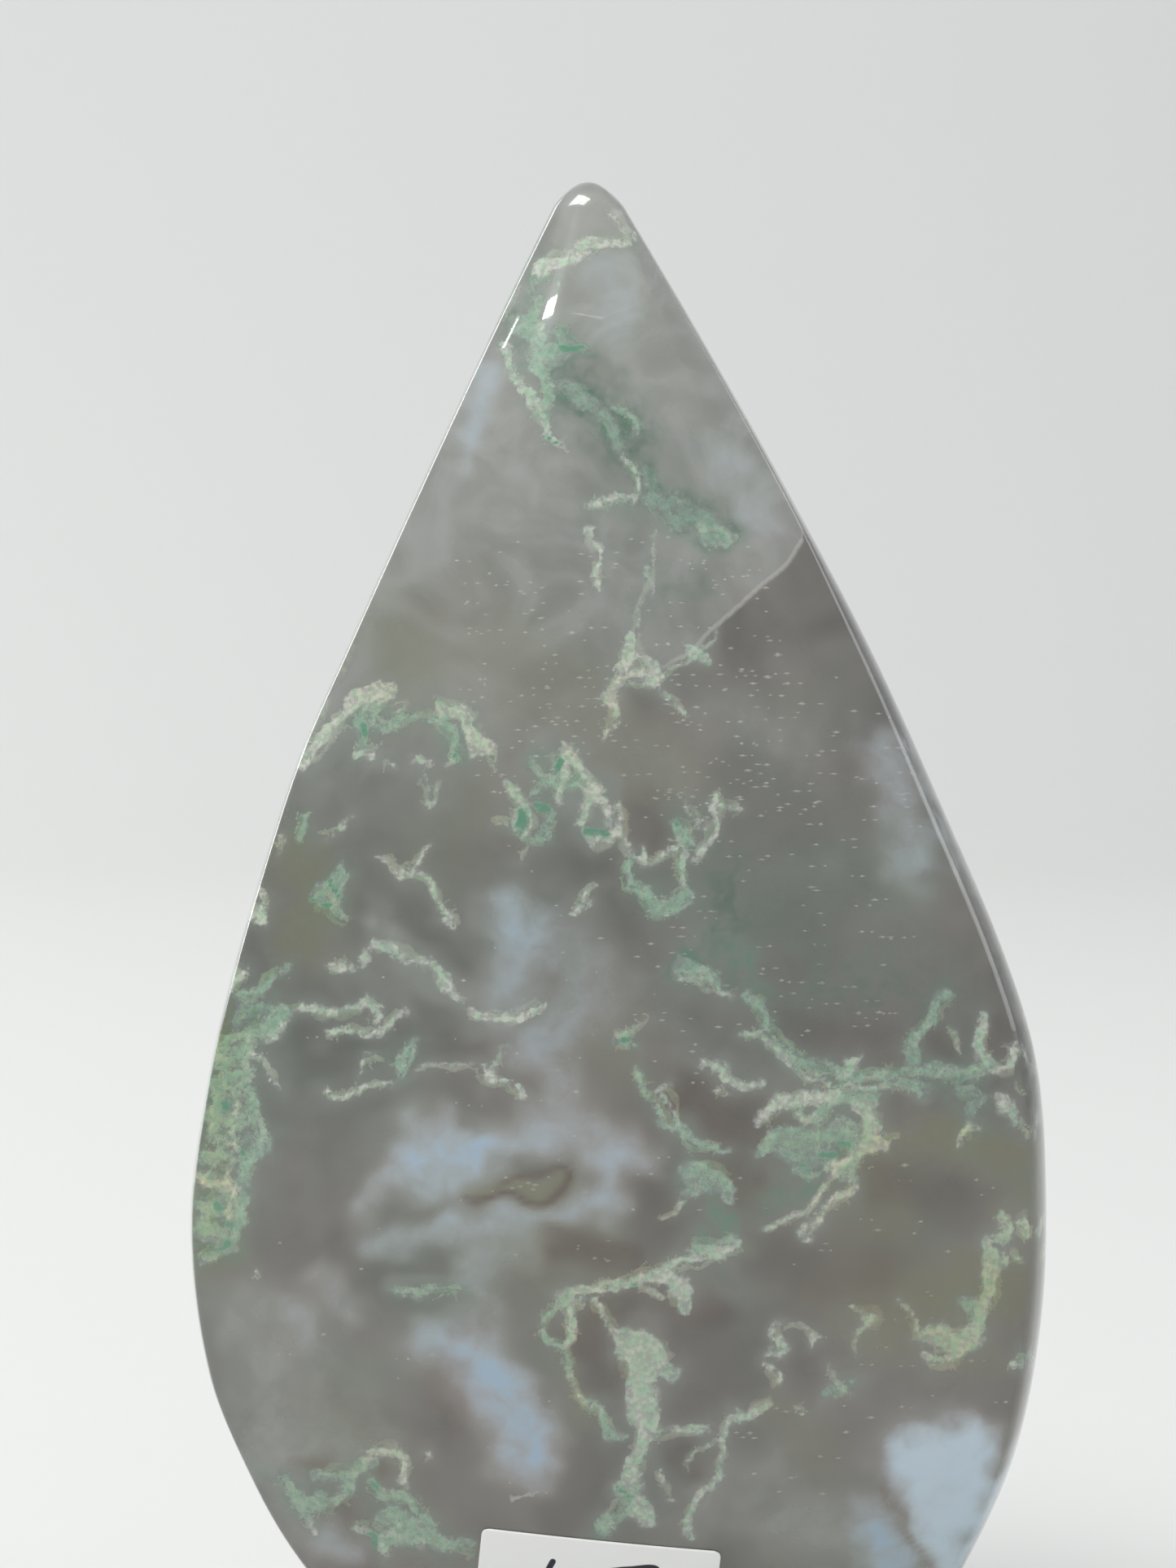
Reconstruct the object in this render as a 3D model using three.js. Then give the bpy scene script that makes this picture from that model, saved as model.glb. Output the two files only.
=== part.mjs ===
// Moss agate teardrop: one freeform stone, cut and polished all over, with a small paper label stuck on
// its lower front. Millimetres, +Z up. The broad front face looks along -Y, and the origin is the middle
// of the stone's bounding box at the height of its flat base.
import * as THREE from "three";

// Height of the stone, and how its tip and the rim of its base are rounded
const HEIGHT = 113.8;
const TIP_ROUND_HEIGHT = 2.0;
const TIP_CENTRE_X = -2.2;
const TIP_CENTRE_Y = 4.6;
const BASE_ROUND = 0.6;
const BASE_CENTRE_X = 2.2;
const BASE_CENTRE_Y = 5.8;
const BASE_HALF_WIDTH = 15.2;

// Outline seen from the front, as [height, x] from the base up to the tip
const LEFT_OUTLINE = [
  [0, -13],
  [6, -19.6],
  [12, -24.3],
  [18, -27.5],
  [26, -30.5],
  [37, -31.7],
  [47, -30.45],
  [55, -28.65],
  [67, -25.1],
  [73, -22.95],
  [79, -20.25],
  [91, -14.8],
  [103, -9.2],
  [113.8, -3.9],
];
const RIGHT_OUTLINE = [
  [0, 17.4],
  [6, 23],
  [12, 26.6],
  [20, 29.8],
  [30, 31.5],
  [40, 31.7],
  [49, 30.9],
  [57, 28.45],
  [67, 24.2],
  [79, 18.75],
  [91, 12.45],
  [103, 5.7],
  [113.8, -0.7],
];

// The ridge on each side where the front face meets the side bevel, as [height, distance in from the outline]
const LEFT_RIDGE_INSET = [
  [0, 0.7],
  [70, 0.45],
  [113.8, 0.3],
];
const RIGHT_RIDGE_INSET = [
  [0, 0.9],
  [25, 1.5],
  [60, 1.4],
  [80, 1.0],
  [90, 0.5],
  [113.8, 0.3],
];

// Depths, as [height, depth]: where the widest line of the stone lies, how far the ridges stand in front of it,
// how far the front face bulges past its ridges, and how far the back stands behind the widest line
const WIDEST_LINE_Y = [
  [0, 3.0],
  [20, 1.0],
  [45, 0.0],
  [80, 1.0],
  [113.8, 4.5],
];
const RIDGE_DEPTH = [
  [0, 2.5],
  [20, 4.5],
  [50, 5.0],
  [85, 3.6],
  [113.8, 1.2],
];
const FRONT_BULGE = [
  [0, 1.5],
  [20, 4.0],
  [50, 4.8],
  [85, 3.2],
  [113.8, 0.8],
];
const BACK_DEPTH = [
  [0, 9.5],
  [20, 18.0],
  [45, 21.0],
  [70, 17.0],
  [90, 11.5],
  [105, 6.5],
  [113.8, 2.2],
];
const BACK_SQUARENESS = 2.3;
const BEVEL_START = THREE.MathUtils.degToRad(40);

// The label, whose centre is given as [x, height] on the front face
const LABEL_WIDTH = 17.6;
const LABEL_HEIGHT = 11.0;
const LABEL_CENTRE = [-1.8, 8.8];
const LABEL_TURN = THREE.MathUtils.degToRad(-5.9);
const LABEL_PAPER = 0.2;
const LABEL_GAP = 0.3;

// How finely the surfaces are divided
const FRONT_COLUMNS = 18;
const BEVEL_COLUMNS = 3;
const BACK_COLUMNS = 22;
const BODY_ROWS = 48;
const BODY_ROW_CROWDING = 1.5;
const RIM_ROWS = 3;
const LABEL_COLUMNS = 12;
const LABEL_ROWS = 8;

// A smooth curve through [height, value] points, as a function of height
function curveThrough(points) {
  const last = points.length - 1;
  const slopes = points.map((_, i) => {
    const before = points[Math.max(i - 1, 0)];
    const after = points[Math.min(i + 1, last)];
    return (after[1] - before[1]) / (after[0] - before[0]);
  });
  return (height) => {
    let i = 0;
    while (i < last - 1 && height > points[i + 1][0]) i += 1;
    const [startHeight, start] = points[i];
    const [endHeight, end] = points[i + 1];
    const span = endHeight - startHeight;
    const t = (height - startHeight) / span;
    const smooth = t * t * (3 - 2 * t);
    const leave = t * (1 - t) * (1 - t) * span * slopes[i];
    const arrive = t * t * (1 - t) * span * slopes[i + 1];
    return start + (end - start) * smooth + leave - arrive;
  };
}

const leftOutline = curveThrough(LEFT_OUTLINE);
const rightOutline = curveThrough(RIGHT_OUTLINE);
const leftRidgeInset = curveThrough(LEFT_RIDGE_INSET);
const rightRidgeInset = curveThrough(RIGHT_RIDGE_INSET);
const widestLineY = curveThrough(WIDEST_LINE_Y);
const ridgeDepth = curveThrough(RIDGE_DEPTH);
const frontBulge = curveThrough(FRONT_BULGE);
const backDepth = curveThrough(BACK_DEPTH);

// The depth of the front face at x and a height
function frontY(x, height) {
  const left = leftOutline(height) + leftRidgeInset(height);
  const right = rightOutline(height) - rightRidgeInset(height);
  const across = (2 * (x - left)) / (right - left) - 1;
  return widestLineY(height) - ridgeDepth(height) - frontBulge(height) * (1 - across * across);
}

// The closed outline of the stone at one height: front face, right bevel, back, then left bevel
function section(height) {
  const left = leftOutline(height);
  const right = rightOutline(height);
  const leftRidge = left + leftRidgeInset(height);
  const rightRidge = right - rightRidgeInset(height);
  const widest = widestLineY(height);
  const depth = ridgeDepth(height);
  const outline = [];
  for (let i = 0; i < FRONT_COLUMNS; i += 1) {
    const x = THREE.MathUtils.lerp(leftRidge, rightRidge, i / FRONT_COLUMNS);
    outline.push([x, frontY(x, height)]);
  }
  const bevelAt = (share, ridge, edge) => {
    const angle = THREE.MathUtils.lerp(BEVEL_START, Math.PI / 2, share);
    const out = (Math.sin(angle) - Math.sin(BEVEL_START)) / (1 - Math.sin(BEVEL_START));
    return [THREE.MathUtils.lerp(ridge, edge, out), widest - (depth * Math.cos(angle)) / Math.cos(BEVEL_START)];
  };
  for (let i = 0; i < BEVEL_COLUMNS; i += 1) {
    outline.push(bevelAt(i / BEVEL_COLUMNS, rightRidge, right));
  }
  const middle = (left + right) / 2;
  const reach = (right - left) / 2;
  for (let i = 0; i < BACK_COLUMNS; i += 1) {
    const angle = (Math.PI * i) / BACK_COLUMNS;
    const sideways = Math.sign(Math.cos(angle)) * Math.abs(Math.cos(angle)) ** (2 / BACK_SQUARENESS);
    const backwards = Math.sin(angle) ** (2 / BACK_SQUARENESS);
    outline.push([middle + reach * sideways, widest + backDepth(height) * backwards]);
  }
  for (let i = BEVEL_COLUMNS; i > 0; i -= 1) {
    outline.push(bevelAt(i / BEVEL_COLUMNS, leftRidge, left));
  }
  return outline;
}

// Share of its full size that a section keeps near the rounded tip
function tipShare(height) {
  const below = Math.min((HEIGHT - height) / TIP_ROUND_HEIGHT, 1);
  return Math.sqrt(1 - (1 - below) ** 2);
}

function shrunk(outline, share, centreX, centreY) {
  return outline.map(([x, y]) => [centreX + (x - centreX) * share, centreY + (y - centreY) * share]);
}

// A closed surface over rings of equal length, fanned shut at a low and a high point
function closedOverRings(rings, lowPoint, highPoint) {
  const positions = [...rings.flat(), lowPoint, highPoint];
  const count = rings[0].length;
  const low = rings.length * count;
  const high = low + 1;
  const faces = [];
  for (let j = 0; j < count; j += 1) {
    const next = (j + 1) % count;
    faces.push([low, next, j]);
    for (let i = 0; i < rings.length - 1; i += 1) {
      const here = i * count;
      const above = here + count;
      faces.push([here + j, here + next, above + next]);
      faces.push([here + j, above + next, above + j]);
    }
    const top = (rings.length - 1) * count;
    faces.push([top + j, top + next, high]);
  }
  return asGeometry(positions, faces);
}

function asGeometry(positions, faces) {
  const geometry = new THREE.BufferGeometry();
  geometry.setAttribute("position", new THREE.Float32BufferAttribute(positions.flat(), 3));
  geometry.setIndex(faces.flat());
  geometry.computeVertexNormals();
  return geometry;
}

function stoneGeometry() {
  const rings = [];
  for (let i = 0; i < RIM_ROWS; i += 1) {
    const angle = ((Math.PI / 2) * i) / RIM_ROWS;
    const height = BASE_ROUND * (1 - Math.cos(angle));
    const share = 1 - (BASE_ROUND * (1 - Math.sin(angle))) / BASE_HALF_WIDTH;
    const ring = shrunk(section(height), share, BASE_CENTRE_X, BASE_CENTRE_Y);
    rings.push(ring.map(([x, y]) => [x, y, height]));
  }
  for (let i = 0; i < BODY_ROWS; i += 1) {
    const climbed = 1 - (1 - i / BODY_ROWS) ** BODY_ROW_CROWDING;
    const height = BASE_ROUND + (HEIGHT - BASE_ROUND) * climbed;
    const ring = shrunk(section(height), tipShare(height), TIP_CENTRE_X, TIP_CENTRE_Y);
    rings.push(ring.map(([x, y]) => [x, y, height]));
  }
  const lowPoint = [BASE_CENTRE_X, BASE_CENTRE_Y, 0];
  const highPoint = [TIP_CENTRE_X, TIP_CENTRE_Y, HEIGHT];
  return closedOverRings(rings, lowPoint, highPoint);
}

// A point at a distance off the front face, along the face's normal
function offFrontFace(x, height, distance) {
  const step = 0.5;
  const slopeX = (frontY(x + step, height) - frontY(x - step, height)) / (2 * step);
  const slopeZ = (frontY(x, height + step) - frontY(x, height - step)) / (2 * step);
  const normal = new THREE.Vector3(slopeX, -1, slopeZ).normalize();
  return new THREE.Vector3(x, frontY(x, height), height).addScaledVector(normal, distance).toArray();
}

// The label is a thin sheet that follows the front face
function labelGeometry() {
  const positions = [];
  for (const distance of [LABEL_GAP, LABEL_GAP + LABEL_PAPER]) {
    for (let i = 0; i <= LABEL_ROWS; i += 1) {
      for (let j = 0; j <= LABEL_COLUMNS; j += 1) {
        const along = LABEL_WIDTH * (j / LABEL_COLUMNS - 0.5);
        const up = LABEL_HEIGHT * (i / LABEL_ROWS - 0.5);
        const x = LABEL_CENTRE[0] + along * Math.cos(LABEL_TURN) - up * Math.sin(LABEL_TURN);
        const height = LABEL_CENTRE[1] + along * Math.sin(LABEL_TURN) + up * Math.cos(LABEL_TURN);
        positions.push(offFrontFace(x, height, distance));
      }
    }
  }
  const width = LABEL_COLUMNS + 1;
  const sheet = width * (LABEL_ROWS + 1);
  const inner = (i, j) => i * width + j;
  const outer = (i, j) => sheet + i * width + j;
  const faces = [];
  const quad = (a, b, c, d) => faces.push([a, b, c], [a, c, d]);
  for (let i = 0; i < LABEL_ROWS; i += 1) {
    for (let j = 0; j < LABEL_COLUMNS; j += 1) {
      quad(outer(i, j), outer(i, j + 1), outer(i + 1, j + 1), outer(i + 1, j));
      quad(inner(i, j), inner(i + 1, j), inner(i + 1, j + 1), inner(i, j + 1));
    }
    quad(inner(i, 0), outer(i, 0), outer(i + 1, 0), inner(i + 1, 0));
    quad(outer(i, LABEL_COLUMNS), inner(i, LABEL_COLUMNS), inner(i + 1, LABEL_COLUMNS), outer(i + 1, LABEL_COLUMNS));
  }
  for (let j = 0; j < LABEL_COLUMNS; j += 1) {
    quad(inner(0, j), inner(0, j + 1), outer(0, j + 1), outer(0, j));
    quad(outer(LABEL_ROWS, j), outer(LABEL_ROWS, j + 1), inner(LABEL_ROWS, j + 1), inner(LABEL_ROWS, j));
  }
  return asGeometry(positions, faces);
}

function namedMesh(name, geometry, material) {
  const mesh = new THREE.Mesh(geometry, new THREE.MeshStandardMaterial(material));
  mesh.name = name;
  return mesh;
}

const teardrop = new THREE.Group();
teardrop.add(namedMesh("stone", stoneGeometry(), { color: 0x7d7a72, roughness: 0.15, metalness: 0 }));
teardrop.add(namedMesh("price_label", labelGeometry(), { color: 0xf2f1ec, roughness: 0.8, metalness: 0 }));

// The stone's bounding box is centred on the origin in depth
const box = new THREE.Box3().setFromObject(teardrop.children[0]);
teardrop.position.set(-(box.min.x + box.max.x) / 2, -(box.min.y + box.max.y) / 2, 0);

export default teardrop;
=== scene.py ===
import math
import bpy
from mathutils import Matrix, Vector
import numpy as np


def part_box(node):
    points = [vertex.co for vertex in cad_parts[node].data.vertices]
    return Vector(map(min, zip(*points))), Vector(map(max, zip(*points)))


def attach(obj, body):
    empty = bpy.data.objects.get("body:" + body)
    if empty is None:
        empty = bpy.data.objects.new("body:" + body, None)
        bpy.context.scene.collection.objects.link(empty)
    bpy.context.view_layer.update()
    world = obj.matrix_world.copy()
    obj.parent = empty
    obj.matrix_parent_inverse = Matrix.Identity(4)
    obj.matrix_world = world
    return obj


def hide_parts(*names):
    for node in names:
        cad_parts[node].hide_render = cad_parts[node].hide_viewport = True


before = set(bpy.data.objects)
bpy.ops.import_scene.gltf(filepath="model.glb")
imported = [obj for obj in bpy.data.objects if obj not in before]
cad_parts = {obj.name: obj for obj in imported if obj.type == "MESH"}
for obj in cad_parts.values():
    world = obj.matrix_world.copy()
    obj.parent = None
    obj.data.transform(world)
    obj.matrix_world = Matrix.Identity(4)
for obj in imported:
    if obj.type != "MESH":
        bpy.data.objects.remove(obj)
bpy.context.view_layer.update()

MM = 0.001
rng = np.random.default_rng(7)

# The photograph's frame, and how it maps to the upright plane of the stone's outline
PHOTO_WIDTH = 1445
PHOTO_HEIGHT = 1927
MM_PER_PIXEL = 0.06
MIDDLE_X_PIXEL = 760.5
BASE_Y_PIXEL = 2120

# The camera stands in front of the stone and looks slightly down
CAMERA_DISTANCE = 330.0
CAMERA_ELEVATION = math.radians(4)
SENSOR = 36.0

# The stone bends light by this much
STONE_IOR = 1.54

# Half the distance over which the front face's slope is measured, in millimetres, and in how many steps the
# point where a ray meets that face is found
SLOPE_REACH = 0.5
HIT_STEPS = 8

# The stone's form, in millimetres: heights are above the base, x and y as they are before centring
HEIGHT = 113.8
TIP_ROUND_HEIGHT = 2.0
TIP_CENTRE = (-2.2, 4.6)
BASE_ROUND = 0.6
BASE_CENTRE = (2.2, 5.8)
BASE_HALF_WIDTH = 15.2
LEFT_OUTLINE = [
    (0, -13), (6, -19.6), (12, -24.3), (18, -27.5), (26, -30.5), (37, -31.7), (47, -30.45), (55, -28.65),
    (67, -25.1), (73, -22.95), (79, -20.25), (91, -14.8), (103, -9.2), (113.8, -3.9),
]
RIGHT_OUTLINE = [
    (0, 17.4), (6, 23), (12, 26.6), (20, 29.8), (30, 31.5), (40, 31.7), (49, 30.9), (57, 28.45), (67, 24.2),
    (79, 18.75), (91, 12.45), (103, 5.7), (113.8, -0.7),
]
LEFT_RIDGE_INSET = [(0, 0.7), (70, 0.45), (113.8, 0.3)]
RIGHT_RIDGE_INSET = [(0, 0.9), (25, 1.5), (60, 1.4), (80, 1.0), (90, 0.5), (113.8, 0.3)]
WIDEST_LINE_Y = [(0, 3.0), (20, 1.0), (45, 0.0), (80, 1.0), (113.8, 4.5)]
RIDGE_DEPTH = [(0, 2.5), (20, 4.5), (50, 5.0), (85, 3.6), (113.8, 1.2)]
FRONT_BULGE = [(0, 1.5), (20, 4.0), (50, 4.8), (85, 3.2), (113.8, 0.8)]
BACK_DEPTH = [(0, 9.5), (20, 18.0), (45, 21.0), (70, 17.0), (90, 11.5), (105, 6.5), (113.8, 2.2)]
BACK_SQUARENESS = 2.3
BEVEL_START = math.radians(40)

# How finely the stone's surface is divided
FRONT_COLUMNS = 190
BEVEL_COLUMNS = 5
BACK_COLUMNS = 60
BODY_ROWS = 330
BODY_ROW_CROWDING = 1.15
RIM_ROWS = 4


def curve_through(points):
    """A smooth curve through (height, value) points, as a function of an array of heights."""
    heights = np.array([p[0] for p in points], float)
    values = np.array([p[1] for p in points], float)
    before = np.maximum(np.arange(len(points)) - 1, 0)
    after = np.minimum(np.arange(len(points)) + 1, len(points) - 1)
    slopes = (values[after] - values[before]) / (heights[after] - heights[before])

    def at(height):
        height = np.asarray(height, float)
        i = np.clip(np.searchsorted(heights, height, side="right") - 1, 0, len(points) - 2)
        span = heights[i + 1] - heights[i]
        t = (height - heights[i]) / span
        smooth = t * t * (3 - 2 * t)
        leave = t * (1 - t) ** 2 * span * slopes[i]
        arrive = t * t * (1 - t) * span * slopes[i + 1]
        return values[i] + (values[i + 1] - values[i]) * smooth + leave - arrive

    return at


left_outline = curve_through(LEFT_OUTLINE)
right_outline = curve_through(RIGHT_OUTLINE)
left_ridge_inset = curve_through(LEFT_RIDGE_INSET)
right_ridge_inset = curve_through(RIGHT_RIDGE_INSET)
widest_line_y = curve_through(WIDEST_LINE_Y)
ridge_depth = curve_through(RIDGE_DEPTH)
front_bulge = curve_through(FRONT_BULGE)
back_depth = curve_through(BACK_DEPTH)


def front_y(x, height):
    """The depth of the front face at x and a height."""
    left = left_outline(height) + left_ridge_inset(height)
    right = right_outline(height) - right_ridge_inset(height)
    across = 2 * (x - left) / (right - left) - 1
    return widest_line_y(height) - ridge_depth(height) - front_bulge(height) * (1 - across * across)


def back_y(x, height):
    """The depth of the back at x and a height."""
    left = left_outline(height)
    right = right_outline(height)
    across = np.clip(np.abs((2 * x - left - right) / (right - left)), 0, 1)
    reach = (1 - across ** BACK_SQUARENESS) ** (1 / BACK_SQUARENESS)
    return widest_line_y(height) + back_depth(height) * reach


def front_normal(x, height):
    """The directions out of the front face at x and a height."""
    slope_x = (front_y(x + SLOPE_REACH, height) - front_y(x - SLOPE_REACH, height)) / (2 * SLOPE_REACH)
    slope_z = (front_y(x, height + SLOPE_REACH) - front_y(x, height - SLOPE_REACH)) / (2 * SLOPE_REACH)
    normal = np.column_stack([slope_x, -np.ones(len(x)), slope_z])
    return normal / np.linalg.norm(normal, axis=1)[:, None]


def section(height):
    """The closed outline of the stone at one height: front face, right bevel, back, then left bevel."""
    left = float(left_outline(height))
    right = float(right_outline(height))
    left_ridge = left + float(left_ridge_inset(height))
    right_ridge = right - float(right_ridge_inset(height))
    widest = float(widest_line_y(height))
    depth = float(ridge_depth(height))
    share = np.arange(FRONT_COLUMNS) / FRONT_COLUMNS
    x = left_ridge + (right_ridge - left_ridge) * share
    front = np.column_stack([x, front_y(x, height)])

    def bevel(share, ridge, edge):
        angle = BEVEL_START + (math.pi / 2 - BEVEL_START) * share
        out = (np.sin(angle) - math.sin(BEVEL_START)) / (1 - math.sin(BEVEL_START))
        y = widest - depth * np.cos(angle) / math.cos(BEVEL_START)
        return np.column_stack([ridge + (edge - ridge) * out, y])

    rising = np.arange(BEVEL_COLUMNS) / BEVEL_COLUMNS
    angle = math.pi * np.arange(BACK_COLUMNS) / BACK_COLUMNS
    sideways = np.sign(np.cos(angle)) * np.abs(np.cos(angle)) ** (2 / BACK_SQUARENESS)
    backwards = np.sin(angle) ** (2 / BACK_SQUARENESS)
    middle = (left + right) / 2
    reach = (right - left) / 2
    back = np.column_stack([middle + reach * sideways, widest + float(back_depth(height)) * backwards])
    return np.vstack([front, bevel(rising, right_ridge, right), back, bevel(1 - rising, left_ridge, left)])


def stone_rings():
    """The stone's outlines from base to tip, as an array of rings by columns by x, y, z."""
    found = []

    def add(height, share, centre):
        centre = np.array(centre)
        flat = centre + (section(height) - centre) * share
        found.append(np.column_stack([flat, np.full(len(flat), height)]))

    for i in range(RIM_ROWS):
        angle = math.pi / 2 * i / RIM_ROWS
        share = 1 - BASE_ROUND * (1 - math.sin(angle)) / BASE_HALF_WIDTH
        add(BASE_ROUND * (1 - math.cos(angle)), share, BASE_CENTRE)
    for i in range(BODY_ROWS):
        height = BASE_ROUND + (HEIGHT - BASE_ROUND) * (1 - (1 - i / BODY_ROWS) ** BODY_ROW_CROWDING)
        below = min((HEIGHT - height) / TIP_ROUND_HEIGHT, 1)
        add(height, math.sqrt(1 - (1 - below) ** 2), TIP_CENTRE)
    return np.array(found)


# The form becomes part of the frame by the shift that centres its box, and by a touch of scale that keeps
# the finer surface inside the box of the coarser one
box_low, box_high = (np.array(v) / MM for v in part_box("stone"))
rings = stone_rings()
form_low = rings.min(axis=(0, 1))
form_high = rings.max(axis=(0, 1))
form_high[2] = HEIGHT
SHIFT = (box_low + box_high) / 2 - (form_low + form_high) / 2
SHIFT[2] = 0


def into_frame(points):
    """The form's points moved into the frame."""
    share = (np.asarray(points) - form_low) / (form_high - form_low)
    return box_low + share * (box_high - box_low)


def put_in_scene(name, data):
    """A new object with this data, linked to the scene."""
    item = bpy.data.objects.new(name, data)
    bpy.context.scene.collection.objects.link(item)
    return item


# Camera

view_forward = np.array([0, math.cos(CAMERA_ELEVATION), -math.sin(CAMERA_ELEVATION)])
view_up = np.array([0, math.sin(CAMERA_ELEVATION), math.cos(CAMERA_ELEVATION)])
view_right = np.array([1.0, 0, 0])
view_target = np.array([
    (PHOTO_WIDTH / 2 - MIDDLE_X_PIXEL) * MM_PER_PIXEL,
    SHIFT[1],
    (BASE_Y_PIXEL - PHOTO_HEIGHT / 2) * MM_PER_PIXEL,
])
view_point = view_target - view_forward * CAMERA_DISTANCE


def add_camera():
    """The camera at the photograph's angle."""
    data = bpy.data.cameras.new("camera")
    camera = put_in_scene("camera", data)
    camera.location = view_point * MM
    camera.rotation_euler = (math.pi / 2 - CAMERA_ELEVATION, 0, 0)
    data.sensor_fit = "VERTICAL"
    data.sensor_height = SENSOR
    data.lens = SENSOR * CAMERA_DISTANCE / (PHOTO_HEIGHT * MM_PER_PIXEL)
    data.clip_start = 0.01
    data.clip_end = 20
    bpy.context.scene.camera = camera


def pixels_of(points):
    """The photograph's pixels at which the camera sees points given in millimetres of the frame."""
    away = np.asarray(points) - view_point
    depth = away @ view_forward
    across = away @ view_right / depth * CAMERA_DISTANCE / MM_PER_PIXEL
    up = away @ view_up / depth * CAMERA_DISTANCE / MM_PER_PIXEL
    return np.column_stack([PHOTO_WIDTH / 2 + across, PHOTO_HEIGHT / 2 - up])


def behind_front(pixels, depth):
    """Points at a depth behind the front face that the camera sees at these pixels through the stone."""
    pixels = np.asarray(pixels, float)
    across = (pixels[:, 0] - PHOTO_WIDTH / 2) * MM_PER_PIXEL
    up = (PHOTO_HEIGHT / 2 - pixels[:, 1]) * MM_PER_PIXEL
    ray = view_forward * CAMERA_DISTANCE + np.outer(across, view_right) + np.outer(up, view_up)
    ray /= np.linalg.norm(ray, axis=1)[:, None]
    far = np.full(len(pixels), CAMERA_DISTANCE)
    for _ in range(HIT_STEPS):
        point = view_point + ray * far[:, None]
        face = front_y(point[:, 0] - SHIFT[0], point[:, 2]) + SHIFT[1]
        far += (face - point[:, 1]) / ray[:, 1]
    point = view_point + ray * far[:, None]
    normal = front_normal(point[:, 0] - SHIFT[0], point[:, 2])
    facing = -np.sum(normal * ray, axis=1)
    leaving = np.sqrt(1 - (1 - facing ** 2) / STONE_IOR ** 2)
    bent = ray / STONE_IOR + normal * (facing / STONE_IOR - leaving)[:, None]
    return point + bent * np.reshape(depth, (-1, 1))


# Meshes

def closed_faces(rows, sides):
    """The triangles of a skin over rows of rings. Its two end points follow the rings."""
    i, j = np.meshgrid(np.arange(rows - 1), np.arange(sides), indexing="ij")
    here = (i * sides + j).ravel()
    beside = (i * sides + (j + 1) % sides).ravel()
    ends = np.arange(sides)
    wrapped = (ends + 1) % sides
    start = rows * sides
    last = start - sides
    return np.vstack([
        np.column_stack([here, beside, beside + sides]),
        np.column_stack([here, beside + sides, here + sides]),
        np.column_stack([wrapped, ends, np.full(sides, start)]),
        np.column_stack([last + ends, last + wrapped, np.full(sides, start + 1)]),
    ])


def add_mesh(name, points, faces, material, values=None):
    """A smooth piece from points in millimetres of the frame, with its named point values."""
    mesh = bpy.data.meshes.new(name)
    faces = np.asarray(faces)
    mesh.vertices.add(len(points))
    mesh.vertices.foreach_set("co", (np.asarray(points) * MM).ravel())
    mesh.loops.add(faces.size)
    mesh.loops.foreach_set("vertex_index", faces.ravel())
    mesh.polygons.add(len(faces))
    mesh.polygons.foreach_set("loop_start", np.arange(len(faces)) * faces.shape[1])
    mesh.polygons.foreach_set("use_smooth", np.full(len(faces), True))
    mesh.update(calc_edges=True)
    for key, value in (values or {}).items():
        attribute = mesh.attributes.new(key, "FLOAT", "POINT")
        attribute.data.foreach_set("value", np.asarray(value, np.float32))
    mesh.materials.append(material)
    piece = put_in_scene(name, mesh)
    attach(piece, "root")
    return piece


def smooth_noise(count, reach):
    """A row of random numbers about 0, about 1 apart, that changes smoothly over a reach."""
    reach = max(int(reach), 1)
    window = np.hanning(2 * reach + 3)
    raw = rng.normal(size=count + len(window) - 1)
    return np.convolve(raw, window, "valid") / np.sqrt(np.sum(window ** 2))


# A lump of eight faces, as corners and faces, and how uneven lumps and tubes are
LUMP = (
    np.array([(1, 0, 0), (-1, 0, 0), (0, 1, 0), (0, -1, 0), (0, 0, 1), (0, 0, -1)], float),
    np.array([(0, 2, 4), (2, 1, 4), (1, 3, 4), (3, 0, 4), (2, 0, 5), (1, 2, 5), (3, 1, 5), (0, 3, 5)]),
)
LUMP_UNEVENNESS = 0.22
TUBE_UNEVENNESS = 0.12
TUBE_SIDES = 6
TUBE_UPRIGHT = (0.13, 1, 0.07)


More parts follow.
